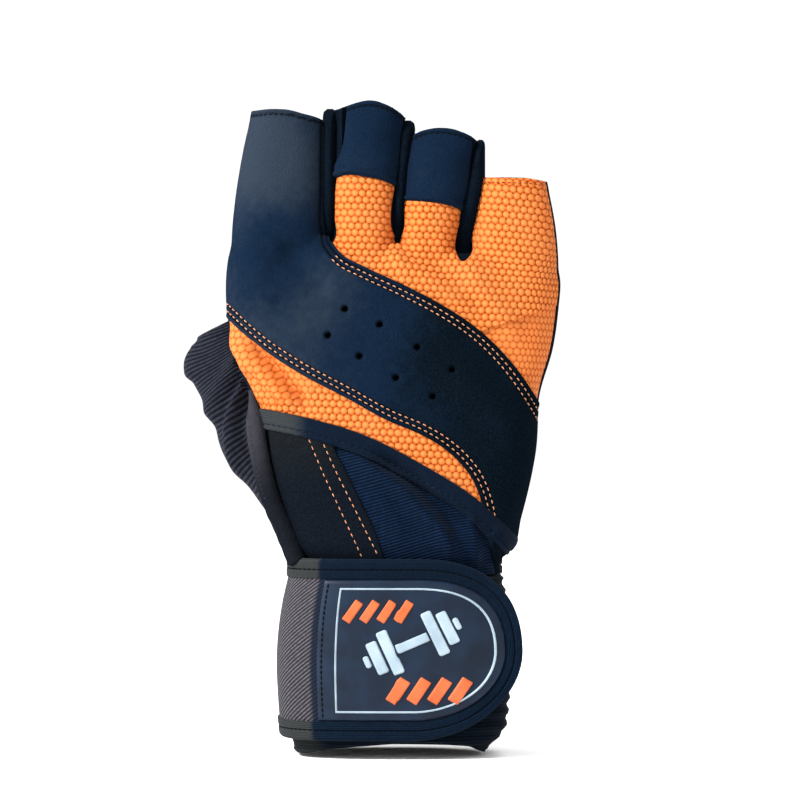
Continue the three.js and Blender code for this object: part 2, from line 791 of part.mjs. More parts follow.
hems.forEach((finger, i) => {
  const band = hemLayer.intersect(hemZones[i]).subtract(hemCuts[i]);
  glove.add(namedMesh(`${finger}_band`, band, navySuede));
});

export default glove;
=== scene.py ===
"""A right-hand weightlifting glove with suede, bubble cloth, ribbed knit and a wrist strap.

Sizes are in millimetres until new_object() turns them into metres. Places named "seen" lie on
the plane of the photograph, as the camera sees them.
"""
import math

import bpy
import numpy as np
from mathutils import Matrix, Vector
from mathutils.bvhtree import BVHTree

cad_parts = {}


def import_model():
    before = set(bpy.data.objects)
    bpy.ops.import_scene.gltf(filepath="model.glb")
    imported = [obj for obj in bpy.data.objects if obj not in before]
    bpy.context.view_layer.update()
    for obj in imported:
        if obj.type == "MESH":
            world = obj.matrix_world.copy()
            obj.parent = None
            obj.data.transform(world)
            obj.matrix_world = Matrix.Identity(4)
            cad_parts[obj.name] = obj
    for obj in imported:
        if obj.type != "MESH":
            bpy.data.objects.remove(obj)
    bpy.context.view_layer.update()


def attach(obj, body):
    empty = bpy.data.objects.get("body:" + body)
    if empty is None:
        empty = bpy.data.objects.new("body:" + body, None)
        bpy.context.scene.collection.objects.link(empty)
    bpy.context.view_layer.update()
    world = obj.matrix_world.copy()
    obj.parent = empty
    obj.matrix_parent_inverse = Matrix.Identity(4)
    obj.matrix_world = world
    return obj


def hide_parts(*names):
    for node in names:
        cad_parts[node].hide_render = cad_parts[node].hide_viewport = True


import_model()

MM = 0.001

# The photograph's view: level, along +Y
CAMERA_DISTANCE = 1150.0
VIEW_CENTRE = np.array([1.65, 115.5])
VIEW_WIDTH = 264.0
SENSOR_WIDTH = 36.0

# Main sizes, as in the CAD model
GLOVE_LENGTH = 214.0
HAND_WIDTH = 108.0
HAND_DEPTH = 38.0
CURL_DEPTH = 4.0
THUMB_WIDTH = 34.0
THUMB_DEPTH = 36.0
WRIST_WIDTH = 74.0
WRIST_DEPTH = 45.0
LEATHER_WALL = 2.0
KNIT_WALL = 1.5
SEAM_SETBACK = 1.3
TAPE_WIDTH = 6.6
ROLL_DIAMETER = 6.2
WRAP_HEIGHT = 58.0
WRAP_WALL = 2.2
STRAP_BOTTOM = 5.2
STRAP_HEIGHT = 58.9
STRAP_THICKNESS = 2.2
STRAP_END_ANGLE = 25.0
ROUND_END_LENGTH = 36.5
FLAP_LENGTH = 14.5
FLAP_ANGLE = 58.0
BINDING_WIDTH = 6.4
BINDING_THICKNESS = 3.6
PATCH_LENGTH = 66.5
PATCH_THICKNESS = 1.0
STRAP_CLEARANCE = 0.5
STRAP_MIDDLE = STRAP_BOTTOM + STRAP_HEIGHT / 2
STRAP_TOP = STRAP_BOTTOM + STRAP_HEIGHT
STRAP_OFFSET = STRAP_CLEARANCE + BINDING_THICKNESS / 2

HAND_POWERS = (2.8, 2.8)
FINGER_POWERS = (2.4, 2.4)
WRIST_POWERS = (3.2, 2.4)

# Fineness of the meshes
VOXEL = 0.85
SMOOTH_PASSES = 10
LINE_POINTS = 80
POINTS_AT_ONCE = 20000
SHARP_ANGLE = 50.0
HAND_LEVELS = 90
STALL_LEVELS = 60
STALL_REACH = 6.0
WEB_LEVELS = 50
WEB_SIDES = 32
STRAP_STEPS = 800
STRAIGHT_STEPS = 170
END_STEPS = 40
STRAP_LEVELS = 41
WRAP_SIDES = 240
WRAP_LEVELS = 60
ROLL_RINGS = 90
ROLL_SIDES = 36
GRAIN_SIDES = 6
GRAIN_RINGS = 5

# How far layers stand proud of the skin
NAVY_RAISE = 1.3
BUBBLE_RAISE = 0.2
BUBBLE_HEIGHT = 0.65
TAPE_RAISE = 1.8
HEM_RAISE = 1.5
KNIT_RAISE = 0.1
PALM_RAISE = 0.5
HEM_STITCH = 1.6
SIDEWAYS = 0.5
UPPER_END_POWER = 2.6
TAPE_FOOT = 1.9
BINDING_RIB = 0.56
BINDING_GROOVE = 3.5
GREY_FROM = PATCH_LENGTH + 2.3

# Patterns
BUBBLE_ROW = 2.16
BUBBLE_COLUMN = 2.35
DOME_UP = 0.57
DOME_SIDE = 0.53
THREAD_PITCH = 0.62
SEAM_ROWS = (1.7, 3.4)
HOLE_RADIUS = 0.95

# Stitches: pitch, length and thickness
SEAM_SIZE = (2.15, 1.25, 0.43)
SIDE_SIZE = (2.4, 1.3, 0.37)
HEM_SIZE = (1.9, 1.3, 0.45)
TAPE_SIZE = (2.3, 1.4, 0.4)
ROLL_SIZE = (1.5, 0.9, 0.35)
PATCH_SIZE = (1.75, 1.5, 0.55)
BINDING_SIZE = (1.9, 1.2, 0.42)

# Lights: place in metres, size and power
LIGHTS = {
    "key": ((-1.1, -0.9, 1.15), 0.4, 62),
    "side": ((-1.6, -0.5, 0.1), 0.6, 14),
    "rim": ((0.4, 1.3, 1.2), 0.8, 14),
}
LIGHT_AIM = (0, 0, 0.11)
WORLD_STRENGTH = 1.05
FLOOR_REACH = 40.0
FLOOR_LEVEL = -0.001
CLIP_END = 60


def table(columns, *rows):
    """Rows of numbers as named columns."""
    names = columns.split()
    return {name: np.array([row[i] for row in rows], float) for i, name in enumerate(names)}


# Sections of the hand, fingers, thumb and wrist, in the CAD model's shares
HAND_ROWS = table(
    "up left right front back tilt",
    (0.314, -0.322, 0.352, 0.585, 0.59, 0),
    (0.36, -0.355, 0.38, 0.57, 0.62, 0),
    (0.46, -0.402, 0.425, 0.52, 0.61, 0),
    (0.55, -0.436, 0.44, 0.48, 0.56, 0),
    (0.62, -0.496, 0.48, 0.45, 0.53, 0),
    (0.68, -0.51, 0.497, 0.43, 0.49, 0),
    (0.75, -0.503, 0.4995, 0.37, 0.42, -3),
    (0.775, -0.486, 0.485, 0.26, 0.3, -5),
)
FINGERS = {
    "index": table(
        "up left right front back tilt",
        (0.6, -0.46, -0.18, 0.36, 0.36, 0),
        (0.775, -0.495, -0.2065, 0.35, 0.36, 0),
        (0.88, -0.474, -0.2078, 0.33, 0.34, -4),
        (0.985, -0.431, -0.2065, 0.31, 0.31, -9),
    ),
    "middle": table(
        "up left right front back tilt",
        (0.62, -0.23, 0.02, 0.36, 0.36, 0),
        (0.775, -0.1925, 0.0, 0.37, 0.37, 0),
        (0.87, -0.1925, 0.011, 0.35, 0.35, 0),
        (0.997, -0.1895, 0.0367, 0.33, 0.33, -7),
    ),
    "ring": table(
        "up left right front back tilt",
        (0.6, 0.0, 0.22, 0.36, 0.36, 0),
        (0.775, 0.014, 0.188, 0.35, 0.36, 0),
        (0.87, 0.0265, 0.226, 0.33, 0.34, 0),
        (0.955, 0.049, 0.269, 0.31, 0.32, -4),
    ),
    "pinky": table(
        "up left right front back tilt",
        (0.58, 0.18, 0.45, 0.33, 0.34, 0),
        (0.75, 0.225, 0.4975, 0.33, 0.34, 0),
        (0.8, 0.234, 0.491, 0.32, 0.33, 0),
        (0.88, 0.263, 0.464, 0.3, 0.31, -4),
    ),
}
THUMB_ROWS = table(
    "up across deep half thick tilt",
    (0.33, -0.19, 0.06, 0.36, 0.44, 12),
    (0.37, -0.235, 0.12, 0.42, 0.48, 26),
    (0.44, -0.302, 0.2, 0.5, 0.49, 32),
    (0.507, -0.396, 0.3, 0.5, 0.45, 30),
    (0.558, -0.438, 0.42, 0.47, 0.41, 28),
    (0.611, -0.512, 0.58, 0.44, 0.38, 22),
    (0.666, -0.499, 0.66, 0.385, 0.33, 27),
)
WRIST_ROWS = table(
    "up left right front back",
    (0, -0.452, 0.43, 0.47, 0.47),
    (0.1, -0.46, 0.475, 0.485, 0.49),
    (0.3, -0.475, 0.502, 0.495, 0.5),
    (0.55, -0.482, 0.512, 0.5, 0.51),
    (0.85, -0.456, 0.49, 0.49, 0.5),
    (1, -0.428, 0.472, 0.475, 0.485),
)
ROLL_ROWS = table(
    "across up deep",
    (-0.437, 0.554, -0.15),
    (-0.429, 0.527, -0.2),
    (-0.422, 0.493, -0.24),
    (-0.406, 0.445, -0.28),
    (-0.38, 0.395, -0.32),
    (-0.329, 0.335, -0.37),
    (-0.293, 0.29, -0.4),
)

# Finger mouths, seen: points (x, z) of the upper edge
MOUTHS = {
    "index": [(-49, 210.5), (-46.6, 210.7), (-40.7, 211.4), (-35.6, 211.2), (-30.6, 210), (-25.5, 208.5),
              (-21, 206.2)],
    "middle": [(-20, 211), (-16.6, 212.3), (-11, 214), (-7.3, 214.2), (-2.8, 212.9), (2.3, 209.7),
               (5, 207.2)],
    "ring": [(3.3, 200.6), (6.9, 203.4), (10.5, 204.8), (15.5, 205.2), (20, 204.6), (25.6, 202.2),
             (29.4, 199)],
    "pinky": [(27, 189), (39.2, 188.8), (45.5, 188.5), (49.8, 187.6), (53, 186.8)],
}


def smooth(at, xs, ys):
    """Value at some places of the smooth curve through given points, level beyond its ends."""
    at = np.clip(at, xs[0], xs[-1])
    slope = np.gradient(ys, xs)
    i = np.clip(np.searchsorted(xs, at) - 1, 0, len(xs) - 2)
    width = xs[i + 1] - xs[i]
    t = (at - xs[i]) / width
    start = (1 + 2 * t) * (1 - t) ** 2 * ys[i] + t * (1 - t) ** 2 * width * slope[i]
    end = t * t * (3 - 2 * t) * ys[i + 1] + t * t * (t - 1) * width * slope[i + 1]
    return start + end


def step(value, low, high):
    """0 below low, 1 above high and smooth between."""
    t = np.clip((value - low) / (high - low), 0, 1)
    return t * t * (3 - 2 * t)


def hump(value, middle, width):
    """1 at the middle value, fading out within about two widths of it."""
    return np.exp(-((value - middle) / width) ** 2)


def lengths_along(line):
    """Distance along a line from its start to each of its points."""
    return np.concatenate([[0], np.cumsum(np.linalg.norm(np.diff(line, axis=0), axis=1))])


def curve(marks, points=LINE_POINTS):
    """A smooth line through marks, as evenly spread points."""
    marks = np.array(marks, float)
    along = lengths_along(marks)
    at = np.linspace(0, along[-1], points)
    return np.stack([smooth(at, along, column) for column in marks.T], axis=1)


def extended(line, reach=150.0):
    """The line with both ends carried on straight."""
    first = line[0] - reach * unit(line[1] - line[0])
    last = line[-1] + reach * unit(line[-1] - line[-2])
    return np.vstack([first, line, last])


def unit(vectors):
    return vectors / np.maximum(np.linalg.norm(vectors, axis=-1, keepdims=True), 1e-12)


def seen(points):
    """Where points appear on the plane of the photograph."""
    scale = CAMERA_DISTANCE / (CAMERA_DISTANCE + points[:, 1:2])
    return VIEW_CENTRE + (points[:, [0, 2]] - VIEW_CENTRE) * scale


def nearest_on(line, flat):
    """For each flat point: its distance to the line, the side (+1 left of its run) and the place."""
    run = np.diff(line, axis=0)
    length = np.linalg.norm(run, axis=1)
    start = lengths_along(line)[:-1]
    distance, side, place = (np.empty(len(flat)) for _ in range(3))
    for low in range(0, len(flat), POINTS_AT_ONCE):
        part = slice(low, low + POINTS_AT_ONCE)
        offset = flat[part, None] - line[:-1]
        share = np.clip((offset * run).sum(-1) / length ** 2, 0, 1)
        square = ((offset - share[..., None] * run) ** 2).sum(-1)
        near = square.argmin(1)
        pick = np.arange(len(near))
        distance[part] = np.sqrt(square[pick, near])
        cross = run[near, 0] * offset[pick, near, 1] - run[near, 1] * offset[pick, near, 0]
        side[part] = np.sign(cross)
        place[part] = start[near] + share[pick, near] * length[near]
    return distance, side, place


def left_of(line):
    """Zone to the left of a line's run, as the signed distance into it."""
    def zone(points):
        distance, side, _ = nearest_on(line, seen(points))
        return distance * side
    return zone


def right_of(line):
    return outside(left_of(line))


def outside(zone, shift=0.0):
    return lambda points: -zone(points) - shift


def widened(zone, shift):
    return lambda points: zone(points) + shift


def overlap(*zones):
    """Zone that lies in all the given ones."""
    return lambda points: np.min([zone(points) for zone in zones], axis=0)


# Seams seen on the back of the hand, in shares of the hand's width and the glove's length
def share_line(*rows):
    return curve([(HAND_WIDTH * across, GLOVE_LENGTH * up) for across, up in rows])


KNUCKLE_LINE = extended(share_line(
    (-0.2, 0.86), (-0.199, 0.8), (-0.188, 0.779), (-0.163, 0.764), (-0.09, 0.744), (0.014, 0.72),
    (0.141, 0.687), (0.257, 0.648), (0.358, 0.597), (0.42, 0.553), (0.48, 0.501)))
LOWER_LINE = extended(share_line(
    (-0.56, 0.69), (-0.508, 0.664), (-0.423, 0.6254), (-0.2946, 0.582), (-0.15, 0.543), (-0.019, 0.507),
    (0.08, 0.486), (0.1375, 0.469), (0.19, 0.447), (0.235, 0.418), (0.262, 0.385), (0.28, 0.34)))
TAPE_LINE = extended(share_line(
    (-0.56, 0.536), (-0.4, 0.526), (-0.2506, 0.51), (-0.0956, 0.486), (0.07, 0.444), (0.263, 0.3816),
    (0.3606, 0.3346), (0.48, 0.28)))
SUEDE_LINE = extended(share_line(
    (-0.2, 0.53), (-0.186, 0.467), (-0.153, 0.435), (-0.11, 0.39), (-0.064, 0.342), (-0.01, 0.26)))

# Slots between the fingers, seen: down the left side, round the crotch and up the right side
SLOTS = {
    "index_middle": curve([
        (-21, 225), (-21.1, 206), (-22.1, 194.7), (-22.6, 181.5), (-22.3, 170), (-20.8, 166.8), (-19.6, 169),
        (-20, 176.6), (-19.8, 184.8), (-17.9, 195.9), (-17.6, 208.6), (-17.5, 225)]),
    "middle_ring": curve([
        (2.2, 220), (2.6, 199), (1.4, 191), (-0.2, 184.8), (-1.3, 177.5), (-0.9, 171.6), (1.2, 168.9),
        (3, 172.3), (3, 176.6), (2.3, 182), (2.8, 189.4), (4.4, 197.7), (6.5, 205.3), (6.9, 220)]),
    "ring_pinky": curve([
        (26.3, 215), (25.5, 201.5), (24.4, 189.5), (23.4, 179.8), (21.8, 174.2), (20.5, 170.3), (20, 165),
        (22.4, 161), (25.2, 163.7), (25.2, 170), (26.1, 177.5), (28, 183.2), (28.4, 189.1), (28.7, 215)]),
}
# Walls between fingers: the fingers on either side and the top, as a share of the glove's length
WEBS = {
    "index_middle": ("index", "middle", 0.99),
    "middle_ring": ("middle", "ring", 0.972),
    "ring_pinky": ("ring", "pinky", 0.942),
}
WEB_DEPTH = 9.0
BAND_EDGES = {
    "middle": extended(curve([
        (-24.1, 188.6), (-21.4, 188.5), (-15.4, 189.8), (-10.3, 189.2), (-4.6, 188), (0.3, 185.8),
        (4.3, 183.8)])),
    "ring": extended(curve([
        (-1, 181.2), (1, 181.2), (7.9, 181), (14.2, 180.4), (20, 178.9), (23.8, 176.7), (26.1, 175.2)])),
}
# Sides of the bands, seen, from the foot up
BAND_SIDES = {
    "middle": ([(-22.5, 187), (-21.3, 190.2), (-19.1, 194.4), (-17.1, 200), (-16.3, 207), (-15.8, 216)],
               [(0.7, 184), (0.9, 187.3), (1.4, 192.4), (1.9, 198.8), (2.4, 206), (2.7, 212)]),
    "ring": ([(1.4, 179), (1.65, 181), (2.1, 186), (2.9, 192.4), (4.0, 198), (5.3, 204)],
             [(23.1, 172), (23.4, 176), (24.1, 184.8), (24.75, 192.4), (25.4, 200), (25.6, 205)]),
}
# Left edge of the side suede, in the roll's valley, and patches of painted light and shade on the navy suede,
# seen
SIDE_EDGE = extended(curve([
    (-43.5, 113.3), (-42.1, 104.5), (-40.7, 93.5), (-39, 86.9), (-35.7, 75.9), (-33.6, 64.9)]))
PAINTED_LIGHT_PATCHES = [((-46, 198), 19, 0.38), ((-38, 166), 13, -0.3), ((-24, 148), 14, 0.15), ((3, 139), 9, 0.1)]
SIDE_ROWS = [
    curve([(-28.6, 103), (-24, 92), (-17.5, 78), (-10.9, 63.6)]),
    curve([(-23.8, 101.4), (-19.5, 92), (-13, 79), (-5.3, 63.6)]),
]
GUSSET_CREASE = extended(curve([(-16.5, 102), (-5, 92.4), (1.7, 87.1), (9.4, 78.7), (14.2, 72), (19, 64)]))
WRAP_EDGE = [(-34.5, 0), (-31.7, 0.2), (-21.1, 2.1), (-9.2, 3.3), (6.1, 4.2), (20.1, 3.3), (26.1, 2.6),
             (30, 1.2), (33, 0)]
FAN_PIVOT = (-14.5, 155.8)
FAN_PITCH = 0.0195
VENT_HOLES = [(-16.5, 145.5), (-5, 140.4), (7.3, 132.8), (18.8, 125.4), (-22.1, 136.8), (-11.7, 129.9),
              (0.3, 122.8), (12.5, 116.7)]

# Folds seen on the back of the hand: line, half width and height (a dent is negative)
BACK_FOLDS = [
    ([(-57, 142), (-52.9, 134.4), (-45, 124.9), (-37.8, 116.9), (-31.5, 109.8)], 2.8, 3.2),
    ([(-49, 138), (-45.9, 132.5), (-39.8, 125.8), (-33.4, 118.6), (-26, 110)], 1.5, -3.0),
    ([(-48, 127), (-45.2, 122.1), (-40.9, 117), (-37, 111)], 1.1, -1.4),
    ([(-51, 130), (-46.5, 120.5), (-43, 113)], 2.0, 1.1),
    ([(-19, 101), (-5, 91), (2.5, 85.6), (9.4, 78.7), (14.5, 73), (18.5, 66), (21, 58)], 2.8, 3.8),
    ([(-10, 99), (4, 91), (12, 83), (19, 75), (23, 66)], 2.4, -3.2),
    ([(24.5, 80), (25.6, 72), (26.4, 66), (27, 58)], 1.5, 1.5),
    ([(29, 74), (30, 68), (31, 60)], 1.6, -0.9),
    ([(-12, 92), (-3, 80), (4, 66)], 3.5, 0.8),
    ([(30, 66.5), (34, 65), (41, 65.5)], 1.1, -1.1),
    ([(33, 75), (36, 70), (42, 69)], 2.0, 0.9),
    ([(-36, 176), (-30, 166), (-24, 158), (-12, 151), (4, 146)], 6.0, 0.9),
    ([(-38, 168), (-32, 161), (-26, 155), (-20, 150)], 4.5, -1.7),
    ([(-50, 158), (-44, 151), (-38, 146)], 5.0, 0.9),
    ([(-8, 139), (8, 131), (22, 122), (36, 110), (44, 96)], 5.5, 1.3),
    ([(2, 122), (18, 116), (30, 106), (38, 96)], 4.5, -0.8),
    ([(18, 141), (30, 131), (40, 119)], 6.0, -1.2),
    ([(-48, 180), (-48, 165), (-46, 152), (-40, 141)], 6.0, 0.7),
    ([(-14, 164), (0, 161), (12, 154), (22, 147), (30, 140)], 2.6, 1.0),
    ([(-20, 172), (-12, 166), (2, 160)], 2.2, -0.7),
    ([(0, 170), (1, 160), (6, 152), (16, 145)], 2.8, 0.9),
    ([(23, 164), (27, 154), (36, 143), (42, 132)], 3.4, 0.9),
    ([(10, 176), (13, 162), (22, 152), (32, 141)], 3.2, -0.9),
    ([(40, 170), (44, 155), (46, 140)], 5.0, 0.6),
]
# Folds of the thumb's knit, seen in the same way
THUMB_FOLDS = [
    ([(-44, 129), (-48.5, 122), (-52.3, 115.2), (-54.3, 108), (-53.8, 101), (-52.3, 95.5), (-48, 87)],
     1.5, 2.6),
    ([(-42.5, 124), (-46.9, 117.5), (-49.6, 112), (-50.7, 107), (-49.8, 100), (-47.2, 94), (-44, 86)],
     1.6, -2.2),
    ([(-49, 133), (-54, 125.5), (-58, 119), (-60.5, 112), (-60, 105)], 2.4, 1.7),
    ([(-47, 130), (-51, 122.5), (-55.3, 115), (-57.6, 108), (-57, 102)], 1.4, -1.5),
    ([(-64, 131), (-61.5, 123), (-61, 113), (-60, 102), (-55, 92)], 4.0, 0.7),
    ([(-68, 136), (-68, 131), (-67.5, 127), (-66, 121)], 3.5, 1.9),
    ([(-57, 104), (-54, 94), (-47, 83)], 1.8, 0.5),
    ([(-66, 134), (-60, 138), (-52, 143)], 3.0, 0.6),
]
# Creases of the palm, as places (x, z)
PALM_FOLDS = [
    ([(48, 160), (30, 165), (10, 167), (-10, 165)], 2.2, -1.1),
    ([(-46, 162), (-30, 150), (-8, 141), (18, 139), (40, 142)], 2.0, -1.2),
    ([(-40, 158), (-22, 140), (-10, 120), (-6, 100), (-8, 78)], 2.4, -1.3),
    ([(36, 120), (30, 100), (22, 82), (14, 68)], 3.0, -0.7),
    ([(-30, 96), (-10, 88), (12, 90), (34, 84)], 2.4, -0.6),
    ([(-24, 74), (0, 70), (28, 73)], 2.2, 0.6),
]


def level_of(points):
    return points[:, 2] / GLOVE_LENGTH


def curl_at(up):
    """The palmar bend of the fingers, where the widest line of a section lies."""
    return CURL_DEPTH * np.maximum(0, (up - 0.7) / 0.3) ** 1.5


def columns_at(rows, up):
    return {name: smooth(up, rows["up"], values) for name, values in rows.items()}


def wrist_section(z, grow):
    row = columns_at(WRIST_ROWS, np.asarray(z, float) / WRAP_HEIGHT)
    return {
        "x": WRIST_WIDTH * (row["left"] + row["right"]) / 2,
        "half": WRIST_WIDTH * (row["right"] - row["left"]) / 2 + grow,
        "front": WRIST_DEPTH * row["front"] + grow,
        "back": WRIST_DEPTH * row["back"] + grow,
    }


def hand_section(rows, up):
    row = columns_at(rows, up)
    return {
        "x": HAND_WIDTH * (row["left"] + row["right"]) / 2,
        "y": curl_at(up),
        "z": GLOVE_LENGTH * up,
        "half": HAND_WIDTH * (row["right"] - row["left"]) / 2,
        "front": HAND_DEPTH * row["front"],
        "back": HAND_DEPTH * row["back"],
        "tilt": row["tilt"],
    }


def neck_rows():
    """The hand's sections with the wrist's below them, down to the wrap."""
    neck = wrist_section(WRAP_HEIGHT, 0.0)
    left, right = (neck["x"] - neck["half"]) / HAND_WIDTH, (neck["x"] + neck["half"]) / HAND_WIDTH
    front, back = neck["front"] / HAND_DEPTH, neck["back"] / HAND_DEPTH
    rows = [(z / GLOVE_LENGTH, left, right, front, back, 0) for z in (WRAP_HEIGHT - 5, STRAP_TOP)]
    return {
        name: np.concatenate([[row[i] for row in rows], HAND_ROWS[name]])
        for i, name in enumerate("up left right front back tilt".split())
    }


def outline(section, angle, powers):
    """Place sideways and in depth of a rounded outline at some angles from +X towards +Y."""
    sine, cosine = np.sin(angle), np.cos(angle)
    power = np.where(sine < 0, powers[0], powers[1])
    side = section["half"] * np.sign(cosine) * np.abs(cosine) ** (2 / power)
    depth = np.where(sine < 0, section["front"], section["back"])
    return side, depth * np.sign(sine) * np.abs(sine) ** (2 / power)


def tube_faces(rings, sides, start=0):
    """Faces of a closed tube whose points run round one ring after another, with both ends capped."""
    last = start + (rings - 1) * sides
    faces = [
        (low + i, low + (i + 1) % sides, low + (i + 1) % sides + sides, low + i + sides)
        for low in range(start, last, sides)
        for i in range(sides)
    ]
    faces.append(tuple(range(start, start + sides))[::-1])
    faces.append(tuple(range(last, last + sides)))
    return faces


def rings_round(spine, side, front, radius, turn):
    """Rings of points round a spine, each in the plane of its two directions."""
    return spine[:, None] + radius[..., None] * (
        np.cos(turn)[:, None] * side[:, None] + np.sin(turn)[:, None] * front[:, None])


def loft(section, powers, sides=96):
    """Closed body through sections, as points and faces."""
    angle = np.linspace(0, 2 * np.pi, sides, endpoint=False)
    tall = {name: np.asarray(values, float)[:, None] for name, values in section.items()}
    side, deep = outline(tall, angle, powers)
    lean = np.radians(tall["tilt"])
    points = np.stack([
        tall["x"] + side * np.cos(lean),
        tall["y"] + deep,
        tall["z"] + side * np.sin(lean),
    ], axis=-1).reshape(-1, 3)
    return points, tube_faces(len(section["x"]), sides)


def thumb_section(up):
    row = columns_at(THUMB_ROWS, up)
    return {
        "x": HAND_WIDTH * row["across"],
        "y": HAND_DEPTH * row["deep"],
        "z": GLOVE_LENGTH * up,
        "half": THUMB_WIDTH * row["half"],
        "front": THUMB_DEPTH * row["thick"],
        "back": THUMB_DEPTH * row["thick"],
        "tilt": row["tilt"],
    }


def carried_on(section, reach):
    """Sections with one more, beyond the last along its lean."""
    lean = np.radians(section["tilt"][-1])
    more = {name: values[-1] for name, values in section.items()}
    more["x"] = more["x"] - reach * np.sin(lean)
    more["z"] = more["z"] + reach * np.cos(lean)
    return {name: np.append(values, more[name]) for name, values in section.items()}


def levels_of(rows, count):
    return np.linspace(rows["up"][0], rows["up"][-1], count)


def fused_skin():
    """One smooth skin round the hand, its fingers and its thumb, as points and triangles."""
    neck = neck_rows()
    bodies = [loft(hand_section(neck, levels_of(neck, HAND_LEVELS)), HAND_POWERS)]
    stalls = [hand_section(rows, levels_of(rows, STALL_LEVELS)) for rows in FINGERS.values()]
    stalls.append(thumb_section(levels_of(THUMB_ROWS, STALL_LEVELS)))
    bodies += [loft(carried_on(stall, STALL_REACH), FINGER_POWERS) for stall in stalls]
    points, faces = [], []
    for body_points, body_faces in bodies:
        start = sum(len(part) for part in points)
        points.append(body_points)
        faces += [tuple(start + corner for corner in face) for face in body_faces]
    mesh = bpy.data.meshes.new("fusing")
    mesh.from_pydata(np.vstack(points).tolist(), [], faces)
    made = bpy.data.objects.new("fusing", mesh)
    bpy.context.collection.objects.link(made)
    fuse = made.modifiers.new("fuse", "REMESH")
    fuse.mode = "VOXEL"
    fuse.voxel_size = VOXEL
    relax = made.modifiers.new("relax", "SMOOTH")
    relax.iterations = SMOOTH_PASSES
    made.modifiers.new("triangles", "TRIANGULATE")
    result = made.evaluated_get(bpy.context.evaluated_depsgraph_get()).to_mesh()
    skin_points = np.empty(len(result.vertices) * 3)
    result.vertices.foreach_get("co", skin_points)
    skin_faces = np.empty(len(result.loops), int)
    result.loops.foreach_get("vertex_index", skin_faces)
    bpy.data.objects.remove(made)
    bpy.data.meshes.remove(mesh)
    return skin_points.reshape(-1, 3), skin_faces.reshape(-1, 3)


def normals_of(points, faces):
    a, b, c = (points[faces[:, i]] for i in range(3))
    across = np.cross(b - a, c - a)
    total = np.zeros_like(points)
    for i in range(3):
        np.add.at(total, faces[:, i], across)
    return unit(total)


def averaged(values, faces, passes):
    """Values of the points, each replaced by the mean over its triangles, several times."""
    uses = np.maximum(np.bincount(faces.ravel(), minlength=len(values)), 1)[:, None]
    for _ in range(passes):
        mean = values[faces].mean(1)
        total = np.zeros_like(values)
        for i in range(3):
            np.add.at(total, faces[:, i], mean)
        values = total / uses
    return values


def compact(cloth, faces):
    """A cloth without the points that no face uses."""
    used, index = np.unique(faces, return_inverse=True)
    return cloth[used], index.reshape(-1, 3)


def cut(cloth, faces, zone):
    """The part of a cloth that lies in a zone; cloth has a point and a normal in each row."""
    value = zone(cloth[:, :3])
    value = np.where(np.abs(value) < 1e-4, 1e-4, value)
    inside = value > 0
    count = inside[faces].sum(1)
    split = faces[(count == 1) | (count == 2)]
    lone = inside[split].sum(1) == 1
    first = (inside[split] == lone[:, None]).argmax(1)
    split = np.take_along_axis(split, (first[:, None] + np.arange(3)) % 3, axis=1)
    edges = np.sort(np.vstack([split[:, [0, 1]], split[:, [0, 2]]]), axis=1)
    edges, index = np.unique(edges, axis=0, return_inverse=True)
    start, end = value[edges[:, 0]], value[edges[:, 1]]
    share = (start / (start - end))[:, None]
    new = cloth[edges[:, 0]] * (1 - share) + cloth[edges[:, 1]] * share
    left, right = index.reshape(2, -1) + len(cloth)
    kept = [
        faces[count == 3],
        np.stack([split[:, 0], left, right], axis=1)[lone],
        np.stack([left, split[:, 1], split[:, 2]], axis=1)[~lone],
        np.stack([left, split[:, 2], right], axis=1)[~lone],
    ]
    return compact(np.vstack([cloth, new]), np.vstack(kept))


def refined(cloth, faces, near=None):
    """The cloth with the edges near some place halved, or all of them."""
    edges = np.sort(faces[:, [[0, 1], [1, 2], [2, 0]]].reshape(-1, 2), axis=1)
    edges, index = np.unique(edges, axis=0, return_inverse=True)
    middle = cloth[edges].mean(1)
    split = np.ones(len(edges), bool) if near is None else near(middle[:, :3]) > 0
    number = np.where(split, len(cloth) + np.cumsum(split) - 1, -1)
    new = number[index].reshape(-1, 3)
    cloth = np.vstack([cloth, middle[split]])
    count = (new >= 0).sum(1)
    whole, (a, b, c), (ab, bc, ca) = faces[count == 0], faces[count == 3].T, new[count == 3].T
    kept = [whole, *(np.stack(t, axis=1) for t in ((a, ab, ca), (ab, b, bc), (ca, bc, c), (ab, bc, ca)))]
    for number_split in (1, 2):
        some, middles = faces[count == number_split], new[count == number_split]
        first = ((middles >= 0) == (number_split == 1)).argmax(1)
        turn = (first[:, None] + (0 if number_split == 1 else 1) + np.arange(3)) % 3
        (a, b, c), (ab, bc, _) = np.take_along_axis(some, turn, 1).T, np.take_along_axis(middles, turn, 1).T
        corners = ((a, ab, c), (ab, b, c)) if number_split == 1 else ((ab, b, bc), (a, ab, bc), (a, bc, c))
        kept += [np.stack(t, axis=1) for t in corners]
    return cloth, np.vstack(kept)


def closed(outer, inner, faces):
    """A closed sheet between two layers of points."""
    edges = faces[:, [[0, 1], [1, 2], [2, 0]]].reshape(-1, 2)
    count = len(outer)
    _, index, uses = np.unique(np.sort(edges, axis=1) @ [count, 1], return_inverse=True, return_counts=True)
    a, b = edges[uses[index] == 1].T
    rim = [np.stack([b, a, a + count], axis=1), np.stack([b, a + count, b + count], axis=1)]
    return np.vstack([outer, inner]), np.vstack([faces, faces[:, ::-1] + count, *rim])


